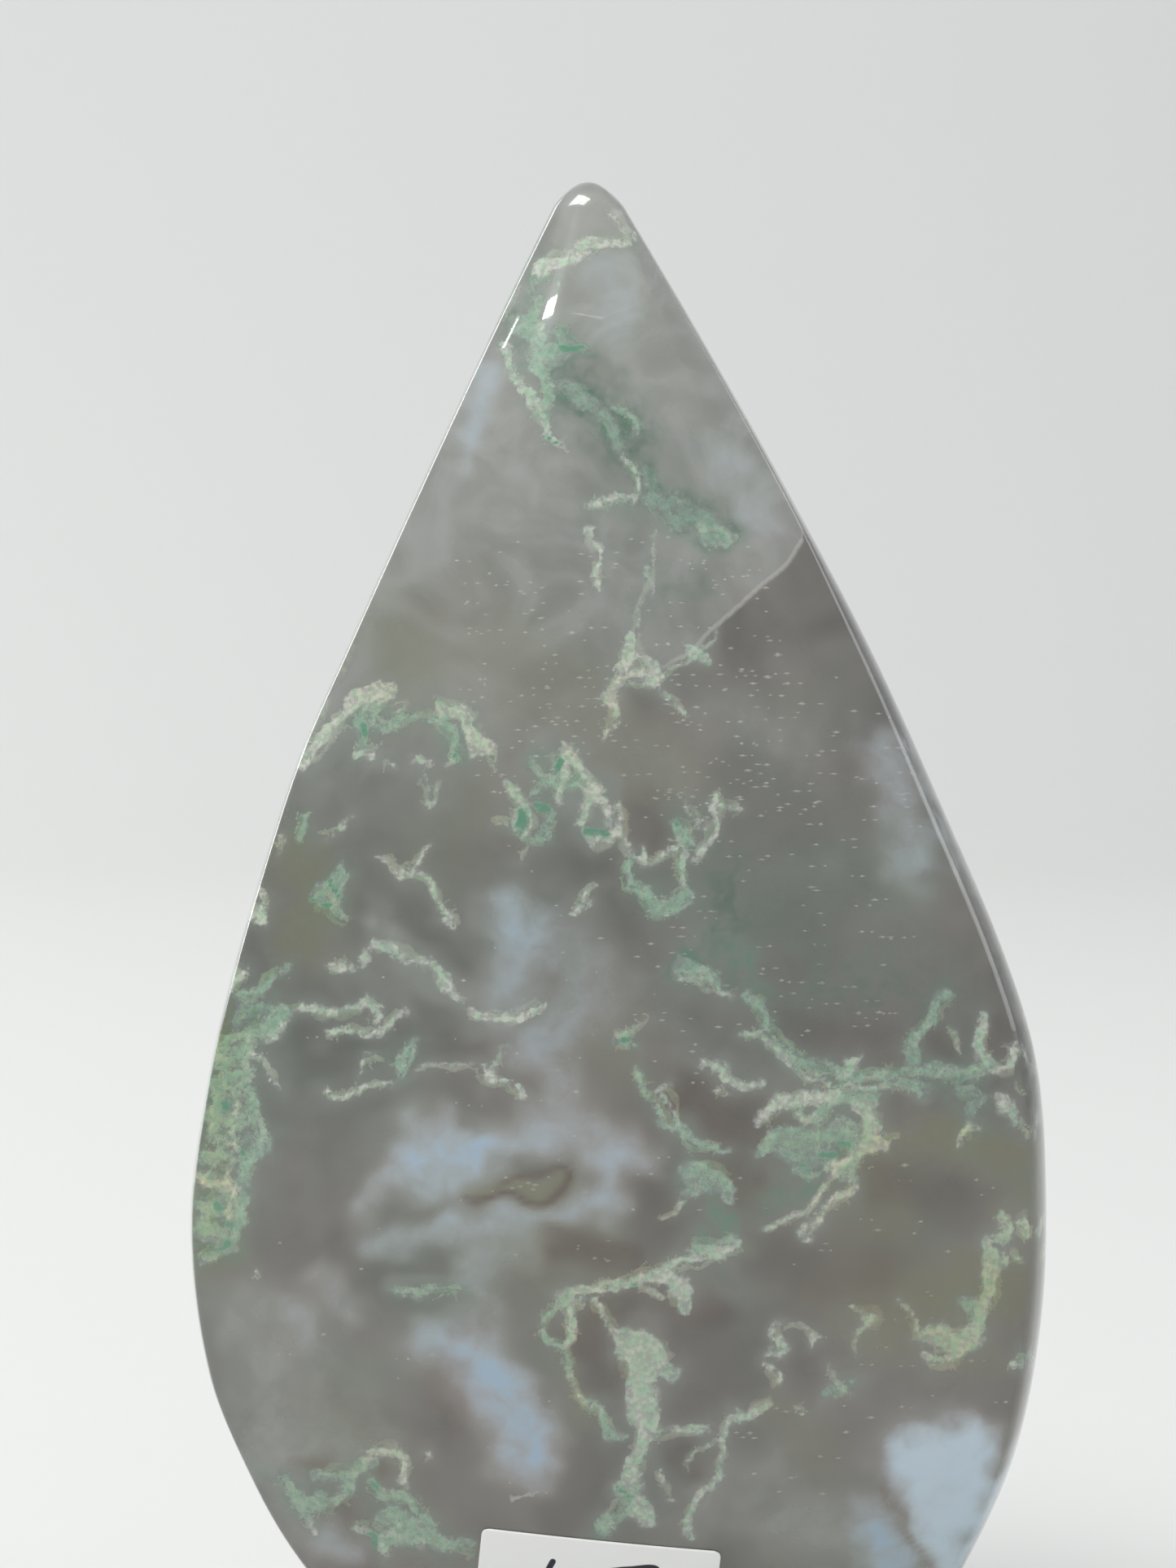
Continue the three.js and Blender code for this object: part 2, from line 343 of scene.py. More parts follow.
class Heap:
    """Many small closed bodies that become one piece."""

    def __init__(self):
        self.points = []
        self.faces = []
        self.tints = []
        self.count = 0

    def add(self, points, faces, tints):
        """One more body, or several, with a tint at each point."""
        self.points.append(points)
        self.faces.append(faces + self.count)
        self.tints.append(tints)
        self.count += len(points)

    def skin(self, rings, tints):
        """A closed skin over a row of rings of points, with a tint at each point."""
        rows, sides = rings.shape[:2]
        points = np.vstack([rings.reshape(-1, 3), rings[0].mean(axis=0), rings[-1].mean(axis=0)])
        tints = np.concatenate([tints.ravel(), [tints[0].mean(), tints[-1].mean()]])
        self.add(points, closed_faces(rows, sides), tints)

    def tube(self, centres, radii):
        """A closed lumpy tube along a row of centres."""
        centres = np.asarray(centres)
        along = np.gradient(centres, axis=0)
        along /= np.linalg.norm(along, axis=1)[:, None] + 1e-9
        side = np.cross(along, TUBE_UPRIGHT)
        side /= np.linalg.norm(side, axis=1)[:, None] + 1e-9
        other = np.cross(side, along)
        angle = 2 * np.pi * np.arange(TUBE_SIDES) / TUBE_SIDES
        rough = 1 + rng.uniform(-TUBE_UNEVENNESS, TUBE_UNEVENNESS, (len(centres), TUBE_SIDES))
        reach = np.asarray(radii)[:, None] * rough
        ring = centres[:, None] + side[:, None] * (reach * np.cos(angle))[..., None]
        ring = ring + other[:, None] * (reach * np.sin(angle))[..., None]
        self.skin(ring, np.zeros(ring.shape[:2]))

    def beads(self, centres, sizes, tints):
        """Small jagged lumps of given half sizes."""
        corners, sides = LUMP
        count = len(centres)
        rough = 1 + rng.uniform(-LUMP_UNEVENNESS, LUMP_UNEVENNESS, (count, len(corners), 1))
        points = centres[:, None] + corners * rough * np.reshape(sizes, (count, 1, -1))
        faces = sides + np.arange(count)[:, None, None] * len(corners)
        self.add(points.reshape(-1, 3), faces.reshape(-1, 3), np.repeat(tints, len(corners)))


# Into how many straight parts a curve is divided between two given points
CURVE_PARTS = 24


def smooth_path(points, step):
    """Evenly spaced points on a smooth curve through the given ones."""
    points = np.asarray(points, float)
    if len(points) == 2:
        points = np.array([points[0], points.mean(axis=0), points[1]])
    padded = np.vstack([2 * points[0] - points[1], points, 2 * points[-1] - points[-2]])
    t = np.linspace(0, 1, CURVE_PARTS, endpoint=False)[:, None]
    fine = []
    for i in range(len(points) - 1):
        a, b, c, d = padded[i:i + 4]
        fine.append(0.5 * (2 * b + (c - a) * t + (2 * a - 5 * b + 4 * c - d) * t ** 2
                           + (3 * b - a - 3 * c + d) * t ** 3))
    fine = np.vstack([*fine, points[-1:]])
    length = np.concatenate([[0], np.cumsum(np.linalg.norm(np.diff(fine, axis=0), axis=1))])
    at = np.linspace(0, length[-1], max(int(length[-1] / step), 4))
    return np.column_stack([np.interp(at, length, fine[:, k]) for k in range(fine.shape[1])])


# Moss seen from the front: each strand has a look, a half width in pixels, a depth in millimetres and then
# its path in pixels
CROWN = [
    ("cream", 10, 0.8, [(768, 292), (748, 298), (728, 303), (705, 312), (682, 322), (662, 330)]),
    ("cream", 4, 0.8, [(745, 262), (760, 270), (772, 282), (770, 296), (756, 300)]),
    ("mint", 4, 1.0, [(660, 330), (657, 345), (656, 362)]),
    ("mint", 4, 1.0, [(660, 341), (675, 340), (686, 343), (686, 356)]),
    ("mint", 9, 1.2, [(662, 368), (655, 382), (646, 396)]),
    ("mint", 13, 0.9, [(640, 405), (655, 412), (668, 420)]),
    ("mint", 11, 1.1, [(655, 430), (675, 436), (690, 432)]),
    ("cream", 5, 0.6, [(665, 396), (666, 418)]),
    ("green", 9, 1.0, [(680, 405), (698, 418), (718, 428)]),
    ("core", 4, 0.5, [(697, 428), (717, 427)]),
    ("bright", 8, 0.4, [(622, 425), (621, 440), (628, 456), (640, 472), (652, 488), (662, 505), (672, 522),
                        (681, 538), (688, 547)]),
    ("core", 3, 0.3, [(677, 532), (682, 541)]),
    ("mint", 10, 1.0, [(650, 440), (668, 460), (674, 482), (670, 505)]),
    ("green", 11, 1.2, [(690, 474), (708, 484), (728, 496)]),
    ("green", 10, 1.25, [(738, 508), (752, 524), (762, 545)]),
    ("mint", 5, 1.2, [(756, 500), (772, 512), (784, 530)]),
    ("bright", 4, 0.5, [(764, 560), (776, 576), (784, 592), (783, 612)]),
    ("green", 6, 1.1, [(786, 575), (795, 590), (798, 610)]),
    ("cream", 6, 0.15, [(783, 616), (765, 613), (745, 615), (722, 620)]),
    ("mint", 2.5, 0.1, [(772, 616), (752, 616), (735, 618)]),
    ("green", 11, 1.2, [(802, 612), (815, 632), (838, 642)]),
    ("green", 11, 1.2, [(820, 612), (850, 628), (872, 646)]),
    ("mint", 10, 1.0, [(862, 650), (880, 658), (895, 664)]),
    ("pale", 3.5, 1.2, [(806, 650), (803, 675), (800, 705), (788, 740), (778, 775)]),
    ("cream", 6.5, 0.2, [(722, 655), (727, 668), (740, 679)]),
    ("cream", 6.5, 0.25, [(734, 688), (737, 702), (730, 722)]),
]
MIDDLE = [
    ("cream", 13, 1.2, [(778, 780), (775, 800), (768, 818)]),
    ("cream", 8, 0.8, [(765, 800), (785, 806), (802, 825), (808, 838)]),
    ("cream", 6, 0.8, [(765, 838), (785, 826), (806, 832)]),
    ("cream", 6, 0.6, [(762, 832), (753, 850), (751, 875), (748, 895), (749, 908)]),
    ("pale", 5, 0.9, [(815, 845), (828, 860), (842, 878)]),
    ("bright", 9, 0.3, [(846, 799), (862, 802)]),
    ("pale", 4, 0.5, [(770, 842), (800, 840), (825, 826), (850, 806), (880, 782)]),
    ("cream", 10, 0.8, [(372, 938), (390, 916), (405, 897), (425, 880), (442, 866)]),
    ("cream", 17, 1.2, [(436, 862), (455, 858), (470, 848)]),
    ("mint", 8, 0.6, [(450, 872), (446, 892), (443, 915)]),
    ("core", 4, 0.3, [(447, 888), (444, 905)]),
    ("cream", 8, 0.5, [(438, 930), (450, 924), (463, 928)]),
    ("mint", 7, 0.7, [(455, 880), (475, 888), (497, 886), (520, 880), (538, 888), (552, 903), (560, 920)]),
    ("cream", 5, 0.5, [(562, 930), (550, 939)]),
    ("cream", 2.5, 0.5, [(478, 868), (500, 862), (497, 872), (487, 880)]),
    ("pale", 22, 2.0, [(535, 862), (552, 868), (565, 885)]),
    ("pale", 12, 0.9, [(538, 866), (556, 876), (572, 890)]),
    ("cream", 11, 0.8, [(568, 895), (585, 905), (596, 922)]),
    ("cream", 5, 0.6, [(596, 922), (609, 944)]),
    ("mint", 9, 0.4, [(560, 920), (572, 925)]),
    ("core", 4, 0.25, [(565, 918), (570, 926)]),
    ("cream", 5, 0.4, [(514, 936), (530, 941)]),
    ("cream", 3, 0.4, [(472, 938), (480, 938)]),
    ("pale", 4, 1.8, [(517, 955), (526, 975), (530, 992)]),
    ("pale", 4, 1.8, [(541, 962), (538, 980), (530, 992)]),
    ("mint", 7, 0.8, [(373, 1000), (372, 1018), (370, 1038)]),
    ("cream", 3.5, 0.6, [(428, 1010), (414, 1018), (392, 1025)]),
    ("cream", 4, 0.5, [(342, 1030), (344, 1046)]),
    ("mint", 10, 0.5, [(425, 1072), (410, 1088), (400, 1102), (408, 1118), (418, 1130)]),
    ("mint", 8, 0.4, [(388, 1108), (400, 1112)]),
    ("core", 5, 0.25, [(388, 1108), (398, 1110)]),
    ("core", 3, 0.3, [(408, 1085), (412, 1092)]),
    ("cream", 6, 0.6, [(466, 1055), (480, 1062), (495, 1073), (508, 1074)]),
    ("cream", 5, 0.8, [(524, 1042), (512, 1056), (497, 1068)]),
    ("pale", 6, 0.9, [(508, 1074), (525, 1090), (540, 1110), (548, 1124)]),
    ("cream", 7, 0.5, [(548, 1122), (558, 1140)]),
    ("pale", 20, 2.2, [(690, 915), (700, 935), (715, 955), (735, 965)]),
    ("cream", 9, 0.9, [(700, 915), (695, 935), (690, 960), (688, 985)]),
    ("mint", 6, 0.6, [(694, 930), (686, 950), (680, 965)]),
    ("bright", 3, 0.4, [(664, 952), (680, 962), (698, 956)]),
    ("bright", 5, 0.35, [(677, 940), (682, 928), (692, 932), (697, 945), (690, 958), (678, 958), (664, 950)]),
    ("core", 6, 0.1, [(690, 934), (684, 944)]),
    ("cream", 8, 0.7, [(700, 918), (712, 945), (722, 970), (738, 985)]),
    ("mint", 6, 0.6, [(655, 938), (666, 958), (658, 976)]),
    ("cream", 6, 0.6, [(736, 982), (748, 996), (752, 1016)]),
    ("pale", 8, 0.9, [(712, 950), (730, 972), (720, 992), (712, 1010)]),
    ("mint", 9, 0.6, [(674, 958), (692, 966), (708, 962)]),
    ("bright", 5, 0.35, [(664, 985), (668, 1000), (680, 1000)]),
    ("core", 6.5, 0.1, [(668, 990), (674, 996)]),
    ("pale", 9, 1.6, [(625, 965), (640, 985), (655, 992)]),
    ("bright", 5, 0.35, [(630, 1000), (645, 998), (654, 1008), (648, 1018), (634, 1014), (628, 1004)]),
    ("core", 6, 0.1, [(636, 1003), (643, 1007)]),
    ("cream", 3, 0.4, [(630, 1006), (606, 1009)]),
    ("mint", 6, 0.6, [(634, 1018), (646, 1030), (660, 1032), (674, 1020), (682, 1006)]),
    ("cream", 3, 0.6, [(652, 1036), (646, 1046), (640, 1056)]),
    ("pale", 22, 2.0, [(735, 975), (738, 990), (736, 1010)]),
    ("cream", 7, 0.5, [(722, 1022), (728, 1036), (745, 1036), (755, 1026), (766, 1024)]),
    ("core", 6, 0.1, [(723, 1025), (733, 1027), (744, 1026)]),
    ("cream", 6, 0.7, [(760, 990), (765, 1010), (768, 1030), (773, 1052)]),
    ("mint", 8, 0.5, [(774, 1058), (776, 1075), (772, 1086), (786, 1094)]),
    ("mint", 12, 0.9, [(786, 1092), (796, 1108), (812, 1116), (830, 1108), (842, 1096)]),
    ("green", 6, 0.7, [(800, 1112), (818, 1118)]),
    ("bright", 8, 0.5, [(840, 1092), (842, 1075), (838, 1058), (836, 1040)]),
    ("mint", 11, 0.8, [(830, 1010), (838, 1020), (842, 1035)]),
    ("core", 4, 0.3, [(832, 1006), (836, 1014)]),
    ("cream", 4, 0.6, [(846, 990), (857, 1003), (848, 1016)]),
    ("cream", 5, 0.5, [(786, 1052), (800, 1056), (818, 1048), (836, 1042)]),
    ("cream", 5, 0.9, [(790, 1040), (796, 1052)]),
    ("cream", 7, 0.8, [(856, 1060), (862, 1040), (874, 1018), (880, 995), (882, 976)]),
    ("pale", 7, 1.5, [(884, 992), (910, 994)]),
    ("cream", 5, 0.5, [(734, 1084), (720, 1095), (712, 1108)]),
    ("cream", 6, 0.5, [(728, 1108), (712, 1112), (706, 1120)]),
]
LOWER_LEFT = [
    ("cream", 8, 1.0, [(405, 1188), (425, 1186)]),
    ("cream", 8, 0.5, [(446, 1184), (452, 1172)]),
    ("pale", 8, 1.4, [(460, 1160), (480, 1166), (505, 1178), (528, 1186), (548, 1205), (568, 1230)]),
    ("pale", 12, 2.0, [(520, 1205), (550, 1225), (570, 1245), (590, 1262)]),
    ("cream", 9, 0.9, [(575, 1245), (600, 1250), (625, 1248), (650, 1240), (664, 1235)]),
    ("pale", 7, 1.4, [(340, 1238), (380, 1240), (420, 1242), (452, 1236), (464, 1248)]),
    ("cream", 6, 0.8, [(400, 1272), (430, 1264), (455, 1266), (475, 1264), (486, 1250), (493, 1240)]),
    ("cream", 5, 0.9, [(455, 1262), (463, 1248), (462, 1238)]),
    ("mint", 8, 0.4, [(508, 1286), (498, 1300), (492, 1314)]),
    ("mint", 6, 0.4, [(485, 1310), (497, 1318)]),
    ("cream", 5, 0.4, [(446, 1316), (452, 1306), (468, 1304)]),
    ("cream", 5, 0.5, [(398, 1345), (418, 1348), (440, 1340), (462, 1332), (482, 1328)]),
    ("pale", 4, 1.2, [(510, 1314), (540, 1310), (570, 1309), (590, 1314)]),
    ("cream", 7, 0.7, [(586, 1316), (600, 1326), (618, 1330), (632, 1340), (643, 1352)]),
    ("pale", 5, 1.0, [(602, 1318), (612, 1302), (618, 1288)]),
    ("bright", 7, 0.3, [(756, 1272), (770, 1272), (778, 1268)]),
    ("mint", 7, 0.3, [(757, 1282), (770, 1284)]),
    ("core", 3.5, 0.2, [(764, 1280), (773, 1280)]),
    ("cream", 3.5, 0.4, [(776, 1270), (788, 1260), (796, 1252)]),
    ("cream", 6, 0.7, [(374, 1236), (392, 1238)]),
    ("mint", 5, 0.4, [(486, 1585), (510, 1586), (540, 1586), (568, 1586)]),
    ("mint", 3, 0.3, [(548, 1584), (562, 1588)]),
    ("cream", 4, 0.4, [(315, 1562), (319, 1570)]),
]
LEFT_EDGE = [
    ("cream", 7, 0.5, [(288, 1215), (296, 1200), (302, 1192)]),
    ("mint", 7, 0.6, [(295, 1228), (310, 1225), (325, 1215), (338, 1198), (344, 1192)]),
    ("green", 8, 0.7, [(285, 1252), (305, 1242), (335, 1240)]),
    ("mint", 11, 0.7, [(272, 1290), (290, 1275), (315, 1262), (345, 1248), (352, 1238)]),
    ("cream", 6, 0.4, [(322, 1278), (336, 1268), (350, 1258)]),
    ("mint", 9, 0.6, [(266, 1310), (290, 1300), (312, 1292)]),
    ("cream", 4, 0.4, [(305, 1300), (322, 1300), (328, 1312), (342, 1332)]),
    ("mint", 10, 0.6, [(262, 1330), (285, 1330), (305, 1318)]),
    ("green", 9, 0.5, [(275, 1350), (292, 1352)]),
    ("mint", 9, 0.4, [(300, 1335), (310, 1355), (312, 1375), (322, 1392), (330, 1402)]),
    ("mint", 9, 0.6, [(255, 1372), (275, 1372), (298, 1380)]),
    ("green", 7, 0.8, [(258, 1395), (285, 1395), (305, 1400)]),
    ("mint", 9, 0.4, [(322, 1400), (312, 1415), (304, 1430), (300, 1450)]),
    ("mint", 10, 0.6, [(250, 1420), (272, 1425), (290, 1430)]),
    ("cream", 9, 0.5, [(248, 1450), (268, 1450), (290, 1460)]),
    ("green", 7, 0.5, [(262, 1470), (285, 1468)]),
    ("mint", 9, 0.6, [(245, 1480), (262, 1488), (285, 1490)]),
    ("mint", 9, 0.4, [(296, 1470), (297, 1495), (294, 1515), (285, 1530)]),
    ("core", 5, 0.25, [(279, 1502), (286, 1510)]),
    ("mint", 9, 0.6, [(246, 1510), (262, 1515), (280, 1518)]),
    ("core", 5, 0.25, [(268, 1530), (280, 1525)]),
    ("mint", 7, 0.3, [(262, 1335), (270, 1360), (262, 1385), (272, 1410)]),
    ("cream", 5, 0.25, [(285, 1340), (292, 1365), (286, 1392), (296, 1415)]),
    ("mint", 7, 0.3, [(258, 1440), (266, 1465), (256, 1490), (262, 1515)]),
    ("cream", 5, 0.25, [(280, 1440), (286, 1462), (280, 1485), (284, 1500)]),
    ("mint", 6, 0.35, [(268, 1300), (276, 1320), (268, 1338)]),
    ("bright", 5, 0.3, [(300, 1262), (312, 1285), (302, 1305), (310, 1325)]),
    ("core", 4, 0.25, [(274, 1355), (280, 1362)]),
    ("core", 3.5, 0.25, [(266, 1478), (274, 1484)]),
    ("core", 3.5, 0.25, [(300, 1418), (304, 1426)]),
    ("mint", 8, 0.5, [(244, 1548), (258, 1542), (272, 1536)]),
    ("cream", 5, 0.5, [(316, 1092), (325, 1100), (322, 1112)]),
    ("cream", 8, 0.6, [(312, 1130), (320, 1115), (322, 1134)]),
]
RIGHT_SIDE = [
    ("mint", 12, 0.9, [(838, 1190), (855, 1196), (880, 1206)]),
    ("bright", 4, 0.5, [(834, 1200), (850, 1208), (868, 1213), (888, 1222), (905, 1226)]),
    ("green", 19, 3.5, [(850, 1180), (880, 1165), (910, 1180), (925, 1210)]),
    ("mint", 9, 1.4, [(922, 1225), (930, 1245), (936, 1262)]),
    ("bright", 7, 0.5, [(915, 1275), (930, 1272), (945, 1278), (960, 1290), (972, 1300)]),
    ("mint", 4, 0.5, [(946, 1260), (960, 1278), (975, 1290), (988, 1300)]),
    ("bright", 5, 0.4, [(972, 1298), (980, 1312), (992, 1324), (1000, 1328)]),
    ("green", 4, 0.3, [(985, 1302), (1000, 1314), (1012, 1322)]),
    ("mint", 8, 0.8, [(990, 1306), (1015, 1314), (1045, 1320), (1080, 1320), (1115, 1316), (1150, 1318)]),
    ("bright", 3, 0.3, [(1005, 1328), (1030, 1334), (1052, 1334), (1080, 1340), (1105, 1338), (1130, 1342)]),
    ("bright", 3, 0.3, [(968, 1296), (985, 1318), (1000, 1330)]),
    ("green", 7, 0.5, [(1085, 1330), (1110, 1334), (1135, 1330)]),
    ("bright", 3, 0.3, [(1118, 1340), (1132, 1342)]),
    ("pale", 8, 1.2, [(1045, 1300), (1043, 1312)]),
    ("mint", 8, 1.4, [(1150, 1318), (1180, 1322), (1200, 1315), (1215, 1305)]),
    ("mint", 9, 1.6, [(1118, 1305), (1125, 1280), (1138, 1258), (1150, 1238), (1162, 1220)]),
    ("pale", 9, 1.6, [(1205, 1250), (1206, 1275), (1210, 1300)]),
    ("cream", 7, 0.8, [(1215, 1310), (1235, 1310), (1244, 1300), (1242, 1285)]),
    ("pale", 4, 1.2, [(1164, 1262), (1172, 1275), (1182, 1292)]),
    ("pale", 3, 1.0, [(1250, 1330), (1254, 1348)]),
    ("green", 9, 1.0, [(1178, 1340), (1195, 1345), (1205, 1352)]),
    ("green", 8, 1.0, [(1196, 1355), (1194, 1372)]),
    ("cream", 7, 0.9, [(1193, 1385), (1188, 1400)]),
    ("pale", 9, 1.6, [(1232, 1350), (1242, 1370)]),
    ("cream", 4, 0.6, [(1254, 1375), (1264, 1402)]),
    ("cream", 7, 0.5, [(935, 1380), (946, 1366), (955, 1356)]),
    ("cream", 9, 0.5, [(958, 1352), (985, 1350), (1010, 1348), (1035, 1346)]),
    ("cream", 6, 0.4, [(975, 1362), (988, 1378), (1002, 1368)]),
    ("green", 3, 0.25, [(970, 1358), (985, 1360)]),
    ("mint", 9, 0.7, [(1000, 1382), (1015, 1360), (1035, 1352), (1060, 1348), (1072, 1352)]),
    ("pale", 14, 1.6, [(1065, 1360), (1070, 1380), (1068, 1400)]),
    ("mint", 11, 1.0, [(930, 1415), (950, 1400), (975, 1396), (1000, 1400), (1030, 1392)]),
    ("green", 15, 0.5, [(960, 1408), (985, 1416), (1008, 1424)]),
    ("core", 5, 0.25, [(1026, 1402), (1038, 1402)]),
    ("core", 5, 0.3, [(1013, 1424), (1022, 1424)]),
    ("core", 4, 0.3, [(990, 1428), (996, 1436)]),
    ("mint", 11, 0.8, [(1035, 1385), (1048, 1405), (1050, 1425), (1045, 1440)]),
    ("cream", 8, 0.6, [(1020, 1435), (1040, 1430), (1060, 1412), (1080, 1412)]),
    ("mint", 7, 0.5, [(980, 1432), (990, 1446), (1000, 1448)]),
    ("pale", 4, 1.0, [(1060, 1400), (1085, 1398), (1105, 1396)]),
    ("cream", 6, 0.6, [(1040, 1435), (1020, 1450), (1005, 1466), (998, 1480), (990, 1492)]),
    ("cream", 6, 0.7, [(1050, 1440), (1046, 1460), (1030, 1475), (1012, 1488)]),
    ("pale", 6, 0.9, [(1010, 1488), (1002, 1505), (992, 1515)]),
    ("pale", 6, 1.2, [(990, 1492), (965, 1500), (940, 1512)]),
    ("mint", 7, 0.6, [(780, 1318), (790, 1322)]),
    ("mint", 7, 0.7, [(788, 1322), (795, 1340), (805, 1362), (820, 1382), (835, 1390)]),
    ("pale", 5, 1.0, [(812, 1340), (826, 1352), (832, 1372)]),
    ("mint", 8, 0.8, [(835, 1385), (845, 1402), (865, 1408), (890, 1415)]),
    ("green", 9, 2.0, [(838, 1365), (850, 1385), (858, 1395)]),
    ("mint", 12, 0.8, [(850, 1440), (868, 1440), (885, 1450), (895, 1465)]),
    ("mint", 9, 0.5, [(848, 1462), (862, 1466)]),
    ("green", 11, 0.4, [(860, 1444), (874, 1456)]),
    ("pale", 3.5, 1.0, [(810, 1494), (828, 1488), (842, 1474)]),
    ("green", 16, 3.2, [(890, 1490), (920, 1480), (955, 1475), (985, 1465)]),
    ("green", 14, 2.2, [(860, 1500), (880, 1505), (905, 1500)]),
    ("mint", 10, 1.2, [(852, 1530), (875, 1528), (900, 1525)]),
    ("bright", 6, 0.4, [(855, 1535), (878, 1537), (898, 1534)]),
    ("pale", 7, 0.6, [(885, 1315), (905, 1325), (928, 1338)]),
    ("cream", 5, 0.4, [(880, 1340), (892, 1343)]),
    ("pale", 5, 1.2, [(860, 1306), (885, 1312)]),
    ("olive", 8, 0.8, [(1232, 1492), (1240, 1506), (1236, 1522)]),
    ("olive", 10, 0.6, [(1258, 1500), (1266, 1520)]),
    ("olive", 6, 0.8, [(1238, 1540), (1256, 1548)]),
    ("olive", 13, 0.8, [(1217, 1530), (1218, 1560), (1212, 1590), (1204, 1618), (1197, 1638)]),
    ("mint", 9, 0.5, [(1190, 1605), (1195, 1622), (1198, 1640)]),
    ("olive", 18, 1.0, [(1150, 1640), (1172, 1648), (1195, 1645)]),
    ("bright", 8, 0.35, [(1138, 1672), (1155, 1674), (1172, 1668), (1182, 1658)]),
    ("olive", 5, 0.9, [(1110, 1605), (1125, 1625), (1130, 1645)]),
    ("cream", 6, 0.4, [(1241, 1677), (1247, 1679)]),
    ("mint", 6, 0.5, [(1258, 1660), (1254, 1672), (1262, 1682)]),
]
FOOT = [
    ("bright", 8, 0.6, [(905, 1530), (870, 1545), (835, 1552), (800, 1566), (765, 1578), (735, 1582),
                        (700, 1592)]),
    ("bright", 4, 0.3, [(850, 1545), (815, 1555), (785, 1564), (760, 1576)]),
    ("core", 2.5, 0.3, [(770, 1576), (778, 1579)]),
    ("pale", 10, 1.0, [(800, 1568), (825, 1570), (838, 1585), (835, 1605)]),
    ("pale", 5, 0.9, [(785, 1582), (800, 1588), (815, 1595)]),
    ("bright", 7, 0.35, [(688, 1598), (700, 1600), (715, 1602)]),
    ("mint", 7, 0.5, [(688, 1600), (672, 1612), (664, 1628), (670, 1645), (686, 1654)]),
    ("bright", 8, 0.35, [(697, 1604), (702, 1622), (702, 1640), (694, 1656)]),
    ("mint", 6, 0.5, [(690, 1656), (696, 1670), (697, 1684)]),
    ("olive", 6, 0.7, [(700, 1690), (712, 1712), (724, 1735)]),
    ("mint", 8, 0.5, [(730, 1728), (742, 1745), (752, 1763)]),
    ("pale", 7, 0.9, [(728, 1600), (742, 1618), (756, 1634)]),
    ("slab", 19, 0.9, [(772, 1645), (780, 1670), (785, 1700), (790, 1730), (792, 1755)]),
    ("slab", 18, 0.8, [(790, 1650), (805, 1665), (815, 1685)]),
    ("slab", 17, 0.9, [(770, 1640), (775, 1662)]),
    ("slab", 14, 0.7, [(788, 1760), (788, 1785), (780, 1805), (772, 1825)]),
    ("mint", 9, 0.6, [(772, 1830), (762, 1850), (750, 1868), (740, 1884)]),
    ("slab", 12, 0.9, [(775, 1845), (790, 1858), (800, 1870)]),
    ("core", 4, 0.3, [(766, 1829), (772, 1834)]),
    ("green", 6, 0.6, [(745, 1872), (736, 1886)]),
    ("pale", 6, 0.9, [(795, 1768), (820, 1762), (850, 1756), (872, 1752)]),
    ("pale", 6, 0.8, [(898, 1742), (885, 1765), (890, 1785), (885, 1810), (870, 1830)]),
    ("pale", 3.5, 0.6, [(842, 1796), (860, 1782), (880, 1766)]),
    ("pale", 5, 0.8, [(805, 1806), (815, 1822), (825, 1840)]),
    ("pale", 8, 1.6, [(870, 1835), (850, 1855), (845, 1880)]),
    ("pale", 7, 1.2, [(905, 1742), (930, 1732), (950, 1722)]),
    ("pale", 6, 1.2, [(955, 1632), (958, 1650), (952, 1668)]),
    ("cream", 7, 0.5, [(944, 1680), (951, 1692), (956, 1700)]),
    ("pale", 5, 1.0, [(962, 1630), (982, 1628), (995, 1635), (1000, 1652)]),
    ("pale", 5, 1.0, [(998, 1636), (1012, 1648)]),
    ("pale", 7, 1.2, [(1050, 1610), (1070, 1618), (1062, 1632)]),
    ("pale", 5, 0.9, [(1058, 1636), (1052, 1660)]),
    ("cream", 4, 0.4, [(1017, 1682), (1024, 1694), (1032, 1702)]),
    ("mint", 8, 0.4, [(1045, 1700), (1030, 1708), (1018, 1710)]),
    ("cream", 5, 0.4, [(978, 1728), (984, 1738)]),
    ("cream", 8, 1.2, [(450, 1788), (475, 1782), (498, 1788), (502, 1805), (492, 1822)]),
    ("mint", 10, 0.9, [(365, 1838), (385, 1850), (405, 1852), (420, 1836), (428, 1818)]),
    ("mint", 8, 0.8, [(350, 1818), (362, 1838), (376, 1862)]),
    ("mint", 8, 0.8, [(390, 1815), (410, 1812), (432, 1806), (455, 1800)]),
    ("green", 8, 0.8, [(392, 1835), (402, 1840)]),
    ("mint", 8, 0.6, [(455, 1820), (470, 1836), (490, 1840), (508, 1848), (520, 1862), (535, 1875)]),
    ("core", 4, 0.25, [(458, 1824), (462, 1832)]),
    ("core", 2.5, 0.25, [(514, 1858), (520, 1862)]),
    ("mint", 14, 0.9, [(480, 1860), (500, 1875), (520, 1885)]),
    ("bright", 8, 0.4, [(440, 1875), (452, 1880), (468, 1895), (470, 1908)]),
    ("core", 6, 0.25, [(452, 1880), (462, 1888), (458, 1902)]),
    ("mint", 9, 0.8, [(470, 1898), (500, 1890), (530, 1888), (560, 1898), (585, 1908)]),
    ("cream", 6, 0.5, [(376, 1868), (384, 1874)]),
    ("cream", 5, 0.4, [(476, 1884), (500, 1888), (522, 1896)]),
    ("pale", 14, 2.0, [(310, 1790), (325, 1810), (345, 1830)]),
    ("pale", 20, 2.4, [(350, 1760), (385, 1752), (420, 1768)]),
    ("cream", 3, 0.3, [(524, 1786), (530, 1792)]),
    ("cream", 3, 0.3, [(532, 1662), (538, 1668)]),
]

